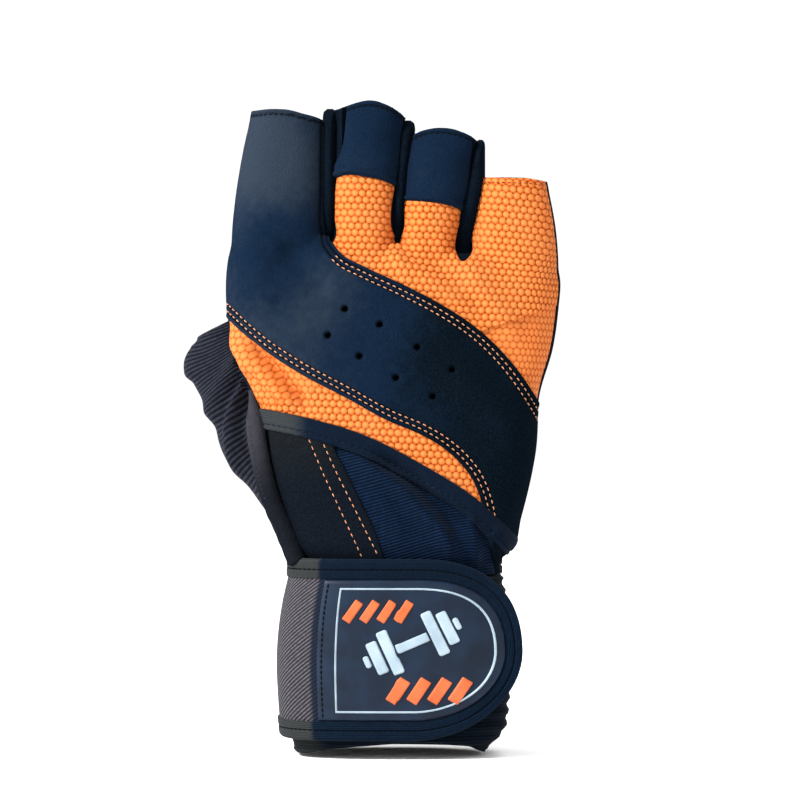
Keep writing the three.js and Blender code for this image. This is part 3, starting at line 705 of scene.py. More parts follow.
def new_object(name, points, faces, material, weave=None):
    """A shown piece in metres that rides on the glove's one body."""
    mesh = bpy.data.meshes.new(name)
    mesh.from_pydata(points * MM, [], faces)
    if weave is not None:
        corners = np.empty(len(mesh.loops), int)
        mesh.loops.foreach_get("vertex_index", corners)
        layer = mesh.uv_layers.new(name="weave")
        layer.uv.foreach_set("vector", weave[corners].astype(np.float32).ravel())
    mesh.shade_smooth()
    mesh.set_sharp_from_angle(angle=math.radians(SHARP_ANGLE))
    mesh.materials.append(material)
    made = bpy.data.objects.new(name, mesh)
    bpy.context.collection.objects.link(made)
    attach(made, "root")
    return made


def rounded(edge, radius):
    """Rise of a rounded edge: 0 at the edge and 1 from the radius on."""
    return np.sqrt(1 - (1 - np.clip(edge / radius, 0, 1)) ** 2)


def folds(points, rows):
    """Height of folds at points, each fading out towards its ends."""
    flat = seen(points)
    height = np.zeros(len(points))
    for marks, width, rise in rows:
        line = curve(marks, 30)
        distance, _, place = nearest_on(line, flat)
        length = lengths_along(line)[-1]
        fade = step(place, 0, 0.25 * length) * (1 - step(place, 0.75 * length, length))
        height += rise * fade * hump(distance, 0, width)
    return height


def on_back(points):
    """1 on the back of the hand, falling to 0 at its sides."""
    return step(curl_at(level_of(points)) - points[:, 1], 1.0, 9.0)


def wander(points, size, seed):
    """Slow uneven waves between about -1 and 1."""
    random = np.random.default_rng(seed)
    total = np.zeros(len(points))
    for _ in range(6):
        way = unit(random.normal(size=3))
        total += np.sin(points @ way * 2 * np.pi / (size * random.uniform(0.7, 1.4)) + random.uniform(0, 6))
    return total / 3


def cloth_form(points):
    """Folds that every layer on the skin follows."""
    up = level_of(points)
    back = on_back(points)
    palm = step(points[:, 1] - curl_at(up), 1.0, 9.0)
    height = folds(points, BACK_FOLDS) * back + folds(points, PALM_FOLDS) * palm
    return height + 0.16 * wander(points, 34.0, 3)


# Materials
def node(tree, kind, inputs=None, **settings):
    """A shader node with its settings, and inputs that are values or other nodes' outputs."""
    made = tree.nodes.new(kind)
    for name, value in settings.items():
        setattr(made, name, value)
    for name, value in (inputs or {}).items():
        if isinstance(value, bpy.types.NodeSocket):
            tree.links.new(value, made.inputs[name])
        else:
            made.inputs[name].default_value = value
    return made


def srgb(*levels):
    """A colour given in the usual 0 to 255, as a shader takes it."""
    linear = [c / 255 / 12.92 if c <= 10 else ((c / 255 + 0.055) / 1.055) ** 2.4 for c in levels]
    return (*linear, 1)


def math_node(tree, operation, a, b=0.0, c=0.0):
    return node(tree, "ShaderNodeMath", {0: a, 1: b, 2: c}, operation=operation).outputs[0]


def mix(tree, factor, a, b):
    """Colour between a and b by a factor."""
    made = tree.nodes.new("ShaderNodeMix")
    made.data_type = "RGBA"
    for socket, value in ((made.inputs[0], factor), (made.inputs[6], a), (made.inputs[7], b)):
        if isinstance(value, bpy.types.NodeSocket):
            tree.links.new(value, socket)
        else:
            socket.default_value = value
    return made.outputs[2]


def ramp(tree, value, low, high):
    """0 to 1 as a value goes from low to high."""
    inputs = {"Value": value, "From Min": low, "From Max": high, "To Min": 0.0, "To Max": 1.0}
    return node(tree, "ShaderNodeMapRange", inputs, interpolation_type="SMOOTHSTEP").outputs[0]


def noise(tree, size, detail=2.0, seed=0.0):
    """Noise with grains of a size in millimetres."""
    place = node(tree, "ShaderNodeTexCoord").outputs["Object"]
    moved = node(tree, "ShaderNodeVectorMath", {0: place, 1: (seed, 0.7 * seed, 0.3 * seed)}, operation="ADD")
    inputs = {"Vector": moved.outputs[0], "Scale": 1 / (size * MM), "Detail": detail}
    return node(tree, "ShaderNodeTexNoise", inputs).outputs["Fac"]


def weave_parts(tree):
    """The two coordinates of a piece's weave."""
    place = node(tree, "ShaderNodeUVMap", uv_map="weave").outputs["UV"]
    parts = node(tree, "ShaderNodeSeparateXYZ", {"Vector": place})
    return parts.outputs["X"], parts.outputs["Y"]


def wave(tree, value, pitch, shift=0.0):
    """0 to 1 wave over a value, with the given pitch."""
    turn = math_node(tree, "MULTIPLY_ADD", value, 2 * math.pi / pitch, shift)
    return math_node(tree, "MULTIPLY_ADD", math_node(tree, "SINE", turn), 0.5, 0.5)


def finish_material(tree, color, height, depth, roughness, sheen=0.0, tint=(1, 1, 1, 1), specular=0.3):
    """Ends a material: colour, and relief of a given depth in millimetres."""
    bump = node(tree, "ShaderNodeBump", {"Height": height, "Distance": depth * MM, "Strength": 1.0})
    shader = node(tree, "ShaderNodeBsdfPrincipled", {
        "Base Color": color,
        "Roughness": roughness,
        "Specular IOR Level": specular,
        "Sheen Weight": sheen,
        "Sheen Roughness": 0.45,
        "Sheen Tint": tint,
        "Normal": bump.outputs["Normal"],
    })
    output = node(tree, "ShaderNodeOutputMaterial")
    tree.links.new(shader.outputs["BSDF"], output.inputs["Surface"])


def new_material(name):
    made = bpy.data.materials.new(name)
    made.use_nodes = True
    made.node_tree.nodes.clear()
    return made, made.node_tree


def along_axis(tree, axis, low, high):
    """0 to 1 along one of the glove's axes, in millimetres."""
    place = node(tree, "ShaderNodeTexCoord").outputs["Object"]
    parts = node(tree, "ShaderNodeSeparateXYZ", {"Vector": place})
    return ramp(tree, parts.outputs[axis], low * MM, high * MM)


def suede(name, dark, light, low=None, sheen=0.01, left=None):
    """Brushed suede: nap in soft patches and fine speckle; low is the colour near the strap.

    With left, the piece's weave gives painted light on its nap, up to that colour, which is a
    painted sheen, and the painted shade of a stitched channel.
    """
    made, tree = new_material(name)
    patches = ramp(tree, noise(tree, 32.0, 2.0), 0.36, 0.64)
    brushed = ramp(tree, noise(tree, 3.0, 4.0, 0.002), 0.3, 0.7)
    nap = math_node(tree, "MULTIPLY_ADD", brushed, 0.4, math_node(tree, "MULTIPLY", patches, 0.6))
    if left is None:
        color = mix(tree, nap, dark, light)
    else:
        painted_light, channel = weave_parts(tree)
        # The painted light from the weave, with the nap's random patches on top
        uneven = math_node(tree, "MULTIPLY_ADD", nap, 0.26, math_node(tree, "SUBTRACT", painted_light, 0.13))
        color = mix(tree, ramp(tree, uneven, 0.0, 0.42), dark, light)
        # Painted sheen: towards the left colour where the painted light is strongest
        color = mix(tree, ramp(tree, uneven, 0.42, 1.0), color, left)
        # Painted shade in the stitched channels, the hem grooves and round the vent holes
        color = mix(tree, channel, color, PAINTED_CHANNEL_SHADE)
    if low is not None:
        color = mix(tree, along_axis(tree, "Z", 108.0, 82.0), color, low)
    speckle = ramp(tree, noise(tree, 0.55, 3.0, 0.005), 0.3, 0.7)
    color = mix(tree, math_node(tree, "MULTIPLY", speckle, 0.006), color, (0.3, 0.4, 0.55, 1))
    finish_material(tree, color, speckle, 0.12, 0.95, sheen, (0.6, 0.7, 0.9, 1), 0.0)
    return made


def domes(tree):
    """Height of round beads in staggered rows, over the weave's coordinates."""
    u, v = weave_parts(tree)
    level = math_node(tree, "FLOOR", v)
    least = 1.0
    for shift in (-1.0, 0.0, 1.0):
        row = math_node(tree, "ADD", level, shift)
        up = math_node(tree, "MULTIPLY_ADD", math_node(tree, "SUBTRACT", v, row), 1 / DOME_UP, -0.5 / DOME_UP)
        column = math_node(tree, "FRACT", math_node(tree, "MULTIPLY_ADD", row, 0.5, u))
        side = math_node(tree, "MULTIPLY_ADD", column, 1 / DOME_SIDE, -0.5 / DOME_SIDE)
        square = math_node(tree, "MULTIPLY_ADD", up, up, math_node(tree, "MULTIPLY", side, side))
        least = math_node(tree, "MINIMUM", square, least)
    return math_node(tree, "SQRT", math_node(tree, "SUBTRACT", 1.0, least))


def bubble_cloth_with_painted_shade(name):
    """Bright beads, with painted shade in the grooves between them and a painted highlight on their tops."""
    made, tree = new_material(name)
    relief = domes(tree)
    # Groove is painted shade between the beads, top a painted highlight on them
    groove, middle, top = srgb(138, 56, 12), srgb(182, 90, 30), srgb(188, 107, 53)
    color = mix(tree, ramp(tree, relief, 0.0, 0.6), groove, middle)
    color = mix(tree, ramp(tree, relief, 0.5, 1.0), color, top)
    pale = math_node(tree, "MULTIPLY", ramp(tree, noise(tree, 16.0), 0.35, 0.7), 0.25)
    color = mix(tree, pale, color, srgb(188, 112, 60))
    finish_material(tree, color, relief, 0.25, 0.6, 0.0, (1, 0.8, 0.65, 1), 0.1)
    return made


def worn(tree, rib, grain):
    """How light a rib is, unevenly worn in grains of a size."""
    uneven = ramp(tree, noise(tree, grain, 3.0), 0.2, 0.8)
    return math_node(tree, "MULTIPLY", rib, math_node(tree, "MULTIPLY_ADD", uneven, 0.5, 0.5))


def ribbed(name, dark, light, pitch, depth, left=None, left_edge=-26.0, beyond=None):
    """Ribs one pitch apart along the weave's first coordinate.

    Left is the colour of the left end, or where the second coordinate lies beyond a value.
    """
    made, tree = new_material(name)
    u, v = weave_parts(tree)
    rib = wave(tree, u, pitch)
    threads = wave(tree, v, THREAD_PITCH)
    tone = worn(tree, rib, 1.6)
    color = mix(tree, tone, dark, light)
    if left is not None:
        pale = mix(tree, tone, mix(tree, 0.55, dark, left), left)
        if beyond is None:
            share = along_axis(tree, "X", left_edge + 3.5, left_edge - 3.5)
        else:
            share = ramp(tree, v, beyond - 1.0, beyond + 1.0)
        color = mix(tree, share, color, pale)
    height = math_node(tree, "MULTIPLY_ADD", threads, 0.12, rib)
    finish_material(tree, color, height, depth, 0.9, 0.02, (0.7, 0.8, 1, 1), 0.03)
    return made


def twill(name, dark, light, right):
    """Diagonal ribs that rise to the right; near the patch the cloth is darker."""
    made, tree = new_material(name)
    u, v = weave_parts(tree)
    diagonal = math_node(tree, "MULTIPLY_ADD", u, 0.61, math_node(tree, "MULTIPLY", v, 0.79))
    rib = wave(tree, diagonal, 1.05)
    tone = worn(tree, rib, 0.9)
    color = mix(tree, tone, dark, light)
    near_patch = mix(tree, tone, mix(tree, 0.5, right, dark), right)
    color = mix(tree, ramp(tree, u, GREY_FROM + 0.8, GREY_FROM - 0.8), color, near_patch)
    finish_material(tree, color, rib, 0.2, 0.85, 0.02, (0.9, 0.85, 0.95, 1), 0.05)
    return made


def rubber(name, dark, light):
    made, tree = new_material(name)
    cloudy = ramp(tree, noise(tree, 9.0, 3.0), 0.3, 0.7)
    color = mix(tree, cloudy, dark, light)
    finish_material(tree, color, noise(tree, 0.35, 2.0), 0.03, 0.45, 0.0, (1, 1, 1, 1), 0.15)
    return made


def thread(name, dark, light):
    made, tree = new_material(name)
    twist = ramp(tree, noise(tree, 0.3, 2.0), 0.3, 0.7)
    finish_material(tree, mix(tree, twist, dark, light), twist, 0.08, 0.7, 0.0, (1, 1, 1, 1), 0.05)
    return made


# Colour of the painted shade in stitched channels, hem grooves and round vent holes
PAINTED_CHANNEL_SHADE = srgb(3, 5, 9)
# Its left colour is a painted sheen, where light grazes the suede from the left
NAVY_SUEDE_WITH_PAINTED_LIGHT = suede("navy_suede_cloth", srgb(3, 9, 16), srgb(8, 21, 37), left=srgb(32, 40, 50))
SHADE_SUEDE = suede("shade_suede_cloth", srgb(2, 6, 11), srgb(5, 12, 21))
SIDE_SUEDE = suede("side_suede_cloth", srgb(8, 10, 12), srgb(16, 18, 20), low=srgb(7, 11, 17))
ROLL_SUEDE = suede("roll_suede_cloth", srgb(32, 32, 37), srgb(43, 42, 47), low=srgb(14, 16, 20))
PALM_SUEDE = suede("palm_suede_cloth", srgb(7, 9, 13), srgb(18, 20, 25))
BUBBLE = bubble_cloth_with_painted_shade("orange_bubble_cloth")
THUMB_KNIT = ribbed("thumb_knit_cloth", srgb(6, 7, 11), srgb(39, 41, 51), 1.0, 0.2)
GUSSET_KNIT = ribbed("gusset_knit_cloth", srgb(1, 5, 11), srgb(12, 29, 54), 1.03, 0.2)
TAPE_CLOTH = ribbed("tape_cloth", srgb(4, 10, 20), srgb(10, 23, 40), 0.55, 0.1, srgb(46, 49, 50), -31.0)
BINDING_CLOTH = ribbed("binding_cloth", srgb(4, 11, 20), srgb(11, 26, 43), BINDING_RIB, 0.05,
                       srgb(47, 49, 48), beyond=GREY_FROM)
WRAP_CLOTH = ribbed("wrap_cloth", srgb(2, 5, 10), srgb(6, 14, 24), 1.1, 0.15, srgb(30, 33, 33), -24.0)
TWILL = twill("strap_twill_cloth", srgb(19, 18, 22), srgb(84, 82, 87), srgb(17, 26, 40))
PATCH_RUBBER = rubber("patch_rubber_face", srgb(9, 20, 34), srgb(14, 29, 47))
PALE_RUBBER = rubber("pale_rubber_face", srgb(128, 145, 156), srgb(148, 163, 172))
ORANGE_RUBBER = rubber("orange_rubber_face", srgb(172, 80, 42), srgb(184, 92, 54))
PEACH_THREAD = thread("peach_thread", srgb(150, 92, 58), srgb(196, 146, 114))
ORANGE_THREAD = thread("orange_thread", srgb(112, 44, 14), srgb(150, 66, 28))
NAVY_THREAD = thread("navy_thread", srgb(2, 4, 8), srgb(6, 10, 18))
SOFT_THREAD = thread("soft_thread", srgb(10, 18, 30), srgb(22, 34, 50))
GREY_THREAD = thread("grey_thread", srgb(24, 26, 32), srgb(50, 52, 58))


# The skin and the zones of its panels
skin_points, skin_faces = fused_skin()
skin_normals = averaged(normals_of(skin_points, skin_faces), skin_faces, 2)
SKIN = np.hstack([skin_points, unit(skin_normals)])
THUMB_PLACES = thumb_section(levels_of(THUMB_ROWS, 2 * STALL_LEVELS))
NECK_ROWS = neck_rows()


def hand_gap(points):
    """About how far points lie outside the hand, fingers apart."""
    section = hand_section(NECK_ROWS, level_of(points))
    deep = points[:, 1] - section["y"]
    depth = np.where(deep < 0, section["front"], section["back"])
    side = np.abs(points[:, 0] - section["x"]) / section["half"]
    power = HAND_POWERS[0]
    return ((side ** power + np.abs(deep / depth) ** power) ** (1 / power) - 1) * depth


def thumb_gap(points):
    """About how far points lie outside the thumb."""
    lean = np.radians(THUMB_PLACES["tilt"])
    offset = points[:, None, [0, 2]] - np.stack([THUMB_PLACES["x"], THUMB_PLACES["z"]], axis=1)
    along = -offset[..., 0] * np.sin(lean) + offset[..., 1] * np.cos(lean)
    near = np.abs(along).argmin(1)
    side = (offset[..., 0] * np.cos(lean) + offset[..., 1] * np.sin(lean))[np.arange(len(points)), near]
    depth = THUMB_PLACES["front"][near]
    deep = np.abs(points[:, 1] - THUMB_PLACES["y"][near]) / depth
    power = FINGER_POWERS[0]
    return ((np.abs(side / THUMB_PLACES["half"][near]) ** power + deep ** power) ** (1 / power) - 1) * depth


def thumb_zone(points):
    near = (points[:, 0] < -8) & (points[:, 2] < 165)
    value = np.full(len(points), -20.0)
    value[near] = hand_gap(points[near]) - thumb_gap(points[near])
    return value


def below_thumb_mouth(points):
    lean = math.radians(THUMB_PLACES["tilt"][-1])
    offset = points[:, [0, 2]] - [THUMB_PLACES["x"][-1], THUMB_PLACES["z"][-1]]
    return offset @ [math.sin(lean), -math.cos(lean)]


def back_zone(points):
    """In front of the seam between back and palm, which lies further forward at the sides."""
    right = 3.6 * step(points[:, 0], 25.0, 48.0) * step(points[:, 2], 105.0, 125.0)
    left = 1.2 * step(-points[:, 0], 35.0, 48.0) * step(points[:, 2], 172.0, 190.0)
    return curl_at(level_of(points)) - SEAM_SETBACK - right - left - points[:, 1]


def finger_of(points):
    """Number of the finger that each point belongs to."""
    up = level_of(points)
    apart = []
    for rows in FINGERS.values():
        section = hand_section(rows, up)
        apart.append(np.abs(points[:, 0] - section["x"]) / section["half"])
    return np.argmin(apart, axis=0)


def own_finger(name):
    """Zone of one finger."""
    number = list(FINGERS).index(name)
    return lambda points: np.where((finger_of(points) == number) & (points[:, 2] > 165), 9.0, -9.0)


def below_mouths(points):
    """Distance below the mouth of the own finger, as seen."""
    flat, finger = seen(points), finger_of(points)
    value = np.full(len(points), 50.0)
    for number, marks in enumerate(MOUTHS.values()):
        x, z = np.array(marks).T
        own = (finger == number) & (points[:, 2] > 0.8 * GLOVE_LENGTH)
        value[own] = smooth(flat[own, 0], x, z) - flat[own, 1]
    return value


def above_neck(points):
    return points[:, 2] - WRAP_HEIGHT - 0.4


slots = overlap(*[right_of(line) for line in SLOTS.values()])
knuckle_zone = left_of(KNUCKLE_LINE)
above_lower = left_of(LOWER_LINE)
above_tape = left_of(TAPE_LINE)
above_tape_foot = widened(above_tape, TAPE_WIDTH)
gusset_side = left_of(SUEDE_LINE)
beside_roll = left_of(SIDE_EDGE)
band_zones = {name: left_of(line) for name, line in BAND_EDGES.items()}
hand_only = outside(thumb_zone)


def off_bands(points):
    """Distance below the bands of the own finger."""
    value = np.full(len(points), 30.0)
    for name, zone in band_zones.items():
        own = own_finger(name)(points) > 0
        value[own] = -zone(points[own])
    return value


def hole_zone(points):
    """Distance outside the nearest vent hole."""
    flat = seen(points)
    apart = [np.linalg.norm(flat - np.array(hole), axis=1) for hole in VENT_HOLES]
    return np.min(apart, axis=0) + np.where(points[:, 1] < 0, 0.0, 50.0) - HOLE_RADIUS


def navy_seams(points):
    """Distance inside the navy panel from its two stitched seams."""
    return np.minimum(-knuckle_zone(points), above_lower(points))


def panel(name, zones, height, wall, material, detail=0, near=None, weave=None, spread=SIDEWAYS):
    """A piece cut from the skin: its outer side raised by a height, its inner one sunk by a wall.

    Spread is how much of the height counts sideways, at the hand's two edges.
    """
    cloth, faces = SKIN, skin_faces
    for zone in zones:
        cloth, faces = cut(cloth, faces, zone)
    for _ in range(detail):
        cloth, faces = refined(cloth, faces, near)
    points, normals = cloth[:, :3], unit(cloth[:, 3:])
    rise = height(points, overlap(*zones)(points))
    sink = np.maximum(wall, wall - 0.3 - rise)
    outward = normals * [spread, 1, 1]
    solid, solid_faces = closed(points + outward * rise[:, None], points - normals * sink[:, None], faces)
    places = None if weave is None else np.tile(weave(points), (2, 1))
    return new_object(name, solid, solid_faces, material, places)


# Heights of the layers over the skin
ARC_TURNS = np.linspace(-math.pi / 2, math.pi / 2, 400)
arc_side, arc_deep = outline({"half": 1.0, "front": 0.36, "back": 0.36}, ARC_TURNS, HAND_POWERS)
ARC_LENGTHS = lengths_along(np.stack([arc_side, arc_deep], axis=1))


def arc_across(points):
    """Distance round the hand's section from the middle of its back."""
    section = hand_section(NECK_ROWS, level_of(points))
    side = (points[:, 0] - section["x"]) / section["half"]
    deep = points[:, 1] - section["y"]
    deep = deep / np.where(deep < 0, section["front"], section["back"])
    power = HAND_POWERS[0] / 2
    turn = np.arctan2(np.sign(deep) * np.abs(deep) ** power, np.abs(side) ** power)
    return section["x"] + np.sign(side) * section["half"] * np.interp(turn, ARC_TURNS, ARC_LENGTHS)


def rows_of_beads(points):
    droop = 0.06 * np.maximum(points[:, 0] - 25, 0) * step(points[:, 2], 150.0, 165.0)
    return (points[:, 2] + 0.04 * points[:, 0] + droop) / BUBBLE_ROW


def crescent_weave(points):
    """Columns and rows of the beads on the lower panel."""
    return np.stack([arc_across(points) / BUBBLE_COLUMN, rows_of_beads(points)], axis=1)


def knuckle_weave(points):
    """Columns and rows of the beads on the fingers, which turn round their sides."""
    section = hand_section(NECK_ROWS, level_of(points))
    fingers = np.stack([hand_section(rows, level_of(points))["x"] for rows in FINGERS.values()])
    middle = fingers[finger_of(points), np.arange(len(points))]
    turned = np.maximum(0.75 * section["front"] + points[:, 1] - section["y"], 0)
    side = np.where(points[:, 2] > 158, np.sign(points[:, 0] - middle), np.sign(points[:, 0]))
    return np.stack([(points[:, 0] + side * turned) / BUBBLE_COLUMN, rows_of_beads(points)], axis=1)


def beads(weave):
    """Height of the beads, as the bubble cloth's material has it."""
    u, v = weave.T
    least = np.ones(len(weave))
    for shift in (-1, 0, 1):
        row = np.floor(v) + shift
        up = (v - row - 0.5) / DOME_UP
        side = ((u + 0.5 * row) % 1 - 0.5) / DOME_SIDE
        least = np.minimum(least, up ** 2 + side ** 2)
    return np.sqrt(1 - least)


def nap(points):
    """Painted light on the navy suede's nap, lighter to the left and in patches, and how far a point lies in
    the painted shade of a stitched channel.
    """
    flat = seen(points)
    # Painted light: the suede is lighter to the left, the side its lights come from
    light = 0.62 * step(-flat[:, 0], -25.0, 35.0)
    # Patches of painted light and shade, standing for the light on folds
    for place, size, change in PAINTED_LIGHT_PATCHES:
        light += change * np.exp(-((flat - np.array(place)) ** 2).sum(1) / size ** 2)
    return np.stack([light, channel_shade_share(points)], axis=1)


def hem_groove(points):
    """1 along the stitches of a hem, below the own finger's mouth."""
    return hump(below_mouths(points), HEM_STITCH, 0.4)


def hole_rim(points, width):
    """1 in the vent holes, fading out within about two widths of them."""
    return hump(np.maximum(hole_zone(points), 0), 0, width)


def channel_shade_share(points):
    """Painted shade of a point in a stitched channel, in a hem's groove or at a hole, up to 1."""
    seam = navy_seams(points)
    dark = sum(hump(seam, row, 0.5) for row in SEAM_ROWS)
    return np.clip(dark + hem_groove(points) + 0.8 * hole_rim(points, 0.35), 0, 1)


def band_painted_shade(points):
    """A finger's band: an even nap, and painted shade along its hem's stitches."""
    dark = 0.8 * hem_groove(points)
    return np.stack([0.42 + 0 * dark, dark], axis=1)


def bubble_height(weave):
    """Height of a bubble panel, plain where another layer lies over it."""
    def height(points, edge):
        free = np.where(points[:, 2] > 128 + 0.35 * points[:, 0], knuckle_zone(points), -above_lower(points))
        free = np.min([free, above_tape(points), off_bands(points)], axis=0)
        shown = step(free, -0.3, 0.6) * step(edge, 0.0, 0.8)
        tucked = -0.5 * (1 - step(free, -1.2, 0.2))
        raised_beads = BUBBLE_HEIGHT * beads(weave(points)) * shown
        return BUBBLE_RAISE * rounded(edge, 0.5) + raised_beads + tucked + cloth_form(points)
    return height


def hem_form(points):
    """Rise of a folded hem below a mouth, with the groove of its stitches."""
    return 0.3 * (1 - step(below_mouths(points), 2.2, 3.2)) - 0.25 * hem_groove(points)


def navy_height(points, edge):
    seam = navy_seams(points)
    base = 0.3 + (NAVY_RAISE - 0.3) * rounded(seam, 0.9)
    grooves = sum(-0.3 * hump(seam, row, 0.45) for row in SEAM_ROWS)
    swell = 0.3 * hump(seam, 0.8, 0.6)
    ring = -0.25 * hole_rim(points, 0.6)
    soft = base * rounded(np.maximum(edge, 0.05), 0.6) + grooves + swell + ring
    return soft + hem_form(points) + cloth_form(points)


def near_details(points):
    """Where the navy panel needs small triangles: at its holes and along its stitched seams."""
    seam = np.where(back_zone(points) > 0, 4.6 - np.abs(navy_seams(points)), -1.0)
    return np.maximum(1.6 - hole_zone(points), seam)


def tape_height(points, edge):
    """Tape with a stitched foot: a shallow groove sets off its lower third."""
    groove = -0.6 * hump(above_tape_foot(points), TAPE_FOOT, 0.35)
    return 0.25 + (TAPE_RAISE - 0.25) * rounded(edge, 0.8) + groove + cloth_form(points)


def gusset_height(points, edge):
    """The knit dips under the tape's foot, in its shadow."""
    under = -above_tape_foot(points)
    return 0.1 - 0.9 * (1 - step(under, 0.2, 3.5)) + cloth_form(points)


def side_height(points, edge):
    """The side suede sinks into the valley beside the roll."""
    distance = np.min([np.abs(nearest_on(line, seen(points))[0]) for line in SIDE_ROWS], axis=0)
    valley = -1.8 * (1 - step(beside_roll(points), -0.6, 1.2))
    return 0.7 * rounded(edge, 0.6) + valley - 0.2 * hump(distance, 0, 0.45) + cloth_form(points)


def band_height(foot):
    """Height of a finger's band, with a rolled hem at its foot."""
    def height(points, edge):
        above = foot(points)
        roll_up = 0.9 * hump(above, 0.9, 0.7) - 0.25 * hump(above, 2.2, 0.45)
        hem = -0.2 * hem_groove(points)
        uneven = 0.3 * wander(points, 15.0, 8)
        return HEM_RAISE * rounded(edge, 1.4) + roll_up + hem + uneven + 0.5 * cloth_form(points)
    return height


def thumb_height(points, edge):
    front = step(THUMB_PLACES["y"].max() - points[:, 1], -4.0, 4.0)
    hem = 0.35 * (1 - step(below_thumb_mouth(points), 2.2, 3.4))
    return KNIT_RAISE + folds(points, THUMB_FOLDS) * front + hem + 0.2 * wander(points, 18.0, 5)


def palm_height(points, edge):
    """The palm's edge stands a little proud of the seam all round the hand."""
    bead = PALM_RAISE * rounded(edge, 0.8) * (1 - 0.6 * step(edge, 2.0, 6.0))
    return bead + cloth_form(points)


def rib_fan(points):
    """Weave of the thumb: ribs fan out from a pivot, as seen, and run round it."""
    offset = seen(points) - np.array(FAN_PIVOT)
    turn = np.arctan2(offset[:, 1], -offset[:, 0])
    return np.stack([turn / FAN_PITCH, np.linalg.norm(offset, axis=1) + 0.6 * points[:, 1]], axis=1)


def gusset_weave(points):
    """Ribs that rise to the right and level out beyond the crease."""
    flat = seen(points)
    distance, side, _ = nearest_on(GUSSET_CREASE, flat)
    beyond = np.maximum(distance * side, 0)
    slope = 0.3 - 0.08 * step(flat[:, 1], 66.0, 95.0)
    return np.stack([flat[:, 1] - slope * (flat[:, 0] - 8) + 0.16 * beyond, arc_across(points)], axis=1)


def tape_weave(points):
    return np.stack([above_tape(points), arc_across(points)], axis=1)


back_of_hand = [below_mouths, above_neck, hand_only, back_zone]
pieces = {
    "back_panel": panel(
        "back_suede", back_of_hand + [slots, outside(knuckle_zone), above_lower, hole_zone],
        navy_height, LEATHER_WALL, NAVY_SUEDE_WITH_PAINTED_LIGHT, detail=1, near=near_details, weave=nap),
    "knuckle_panel": panel(
        "knuckle_bubble", back_of_hand + [slots, widened(knuckle_zone, 2.0), widened(off_bands, 3.0)],
        bubble_height(knuckle_weave), LEATHER_WALL - 0.1, BUBBLE, detail=1, weave=knuckle_weave),
    "lower_panel": panel(
        "lower_bubble", back_of_hand + [widened(above_tape, 1.5), widened(outside(above_lower), 2.0)],
        bubble_height(crescent_weave), LEATHER_WALL - 0.1, BUBBLE, detail=1, weave=crescent_weave,
        spread=1.0),
    "diagonal_binding": panel(
        "tape_elastic", back_of_hand + [above_tape_foot, outside(above_tape)],
        tape_height, LEATHER_WALL, TAPE_CLOTH, detail=1, weave=tape_weave),
    "wrist_gusset": panel(
        "gusset_knit", back_of_hand + [outside(above_tape_foot, -1.5), gusset_side],
        gusset_height, LEATHER_WALL, GUSSET_KNIT, weave=gusset_weave),
    "thumb_side_panel": panel(
        "side_suede", back_of_hand + [outside(above_tape_foot, -1.5), outside(gusset_side)],
        side_height, LEATHER_WALL, SIDE_SUEDE, detail=1),
    "palm_panel": panel(
        "palm_suede", [below_mouths, above_neck, hand_only, outside(back_zone), slots],
        palm_height, LEATHER_WALL, PALM_SUEDE),
    "thumb_stall": panel(
        "thumb_knit", [thumb_zone, below_thumb_mouth, above_neck],
        thumb_height, KNIT_WALL, THUMB_KNIT, weave=rib_fan, spread=1.0),
}
for name, zone in band_zones.items():
    left, right = (extended(curve(marks)) for marks in BAND_SIDES[name])
    pieces[name + "_band"] = panel(
        name + "_band_suede",
        [below_mouths, back_zone, zone, own_finger(name), right_of(left), left_of(right)],
        band_height(zone), LEATHER_WALL, NAVY_SUEDE_WITH_PAINTED_LIGHT, detail=1, weave=band_painted_shade)


def web(left, right, top):
    """The padded wall between two fingers, as sections from their crotch up."""
    ups = np.linspace(0.755, top, WEB_LEVELS)
    from_top = np.linspace(1, 0, WEB_LEVELS)
    one, other = hand_section(FINGERS[left], ups), hand_section(FINGERS[right], ups)
    start, end = one["x"] + one["half"] - 1.6, other["x"] - other["half"] + 1.4
    depth = WEB_DEPTH * rounded(from_top, 0.12) + 0.4
    depth = depth * (0.55 + 0.45 * step(ups, 0.77, 0.84))
    half = (end - start) / 2 * (0.4 + 0.6 * rounded(from_top, 0.06))
    return {"x": (start + end) / 2, "y": one["y"], "z": GLOVE_LENGTH * ups, "half": half,
            "front": depth, "back": depth, "tilt": 0 * ups}


for name, (left, right, top) in WEBS.items():
    wall = panel(
        "slot_suede_" + name, [below_mouths, left_of(SLOTS[name]), lambda points: points[:, 2] - 155],
        lambda points, edge: -0.3 + 0 * edge, LEATHER_WALL, SHADE_SUEDE)
    pieces["fourchette_" + name] = wall
    web_points, web_faces = loft(web(left, right, top), FINGER_POWERS, WEB_SIDES)
    new_object("slot_wall_" + name, web_points, web_faces, SHADE_SUEDE)


# Wrist wrap, strap, binding and patch
def wrist_point(angle, z, out):
    section = wrist_section(z, out)
    side, deep = outline(section, angle, WRIST_POWERS)
    return np.stack([section["x"] + side, deep, z + 0 * side], axis=-1)


STRAP_ANGLES = np.radians(np.linspace(-FLAP_ANGLE, STRAP_END_ANGLE - 360, STRAP_STEPS))
strap_middle_line = wrist_point(STRAP_ANGLES, np.full(STRAP_STEPS, STRAP_MIDDLE), STRAP_OFFSET)
STRAP_ALONG = FLAP_LENGTH + lengths_along(strap_middle_line)
STRAP_LENGTH = STRAP_ALONG[-1]


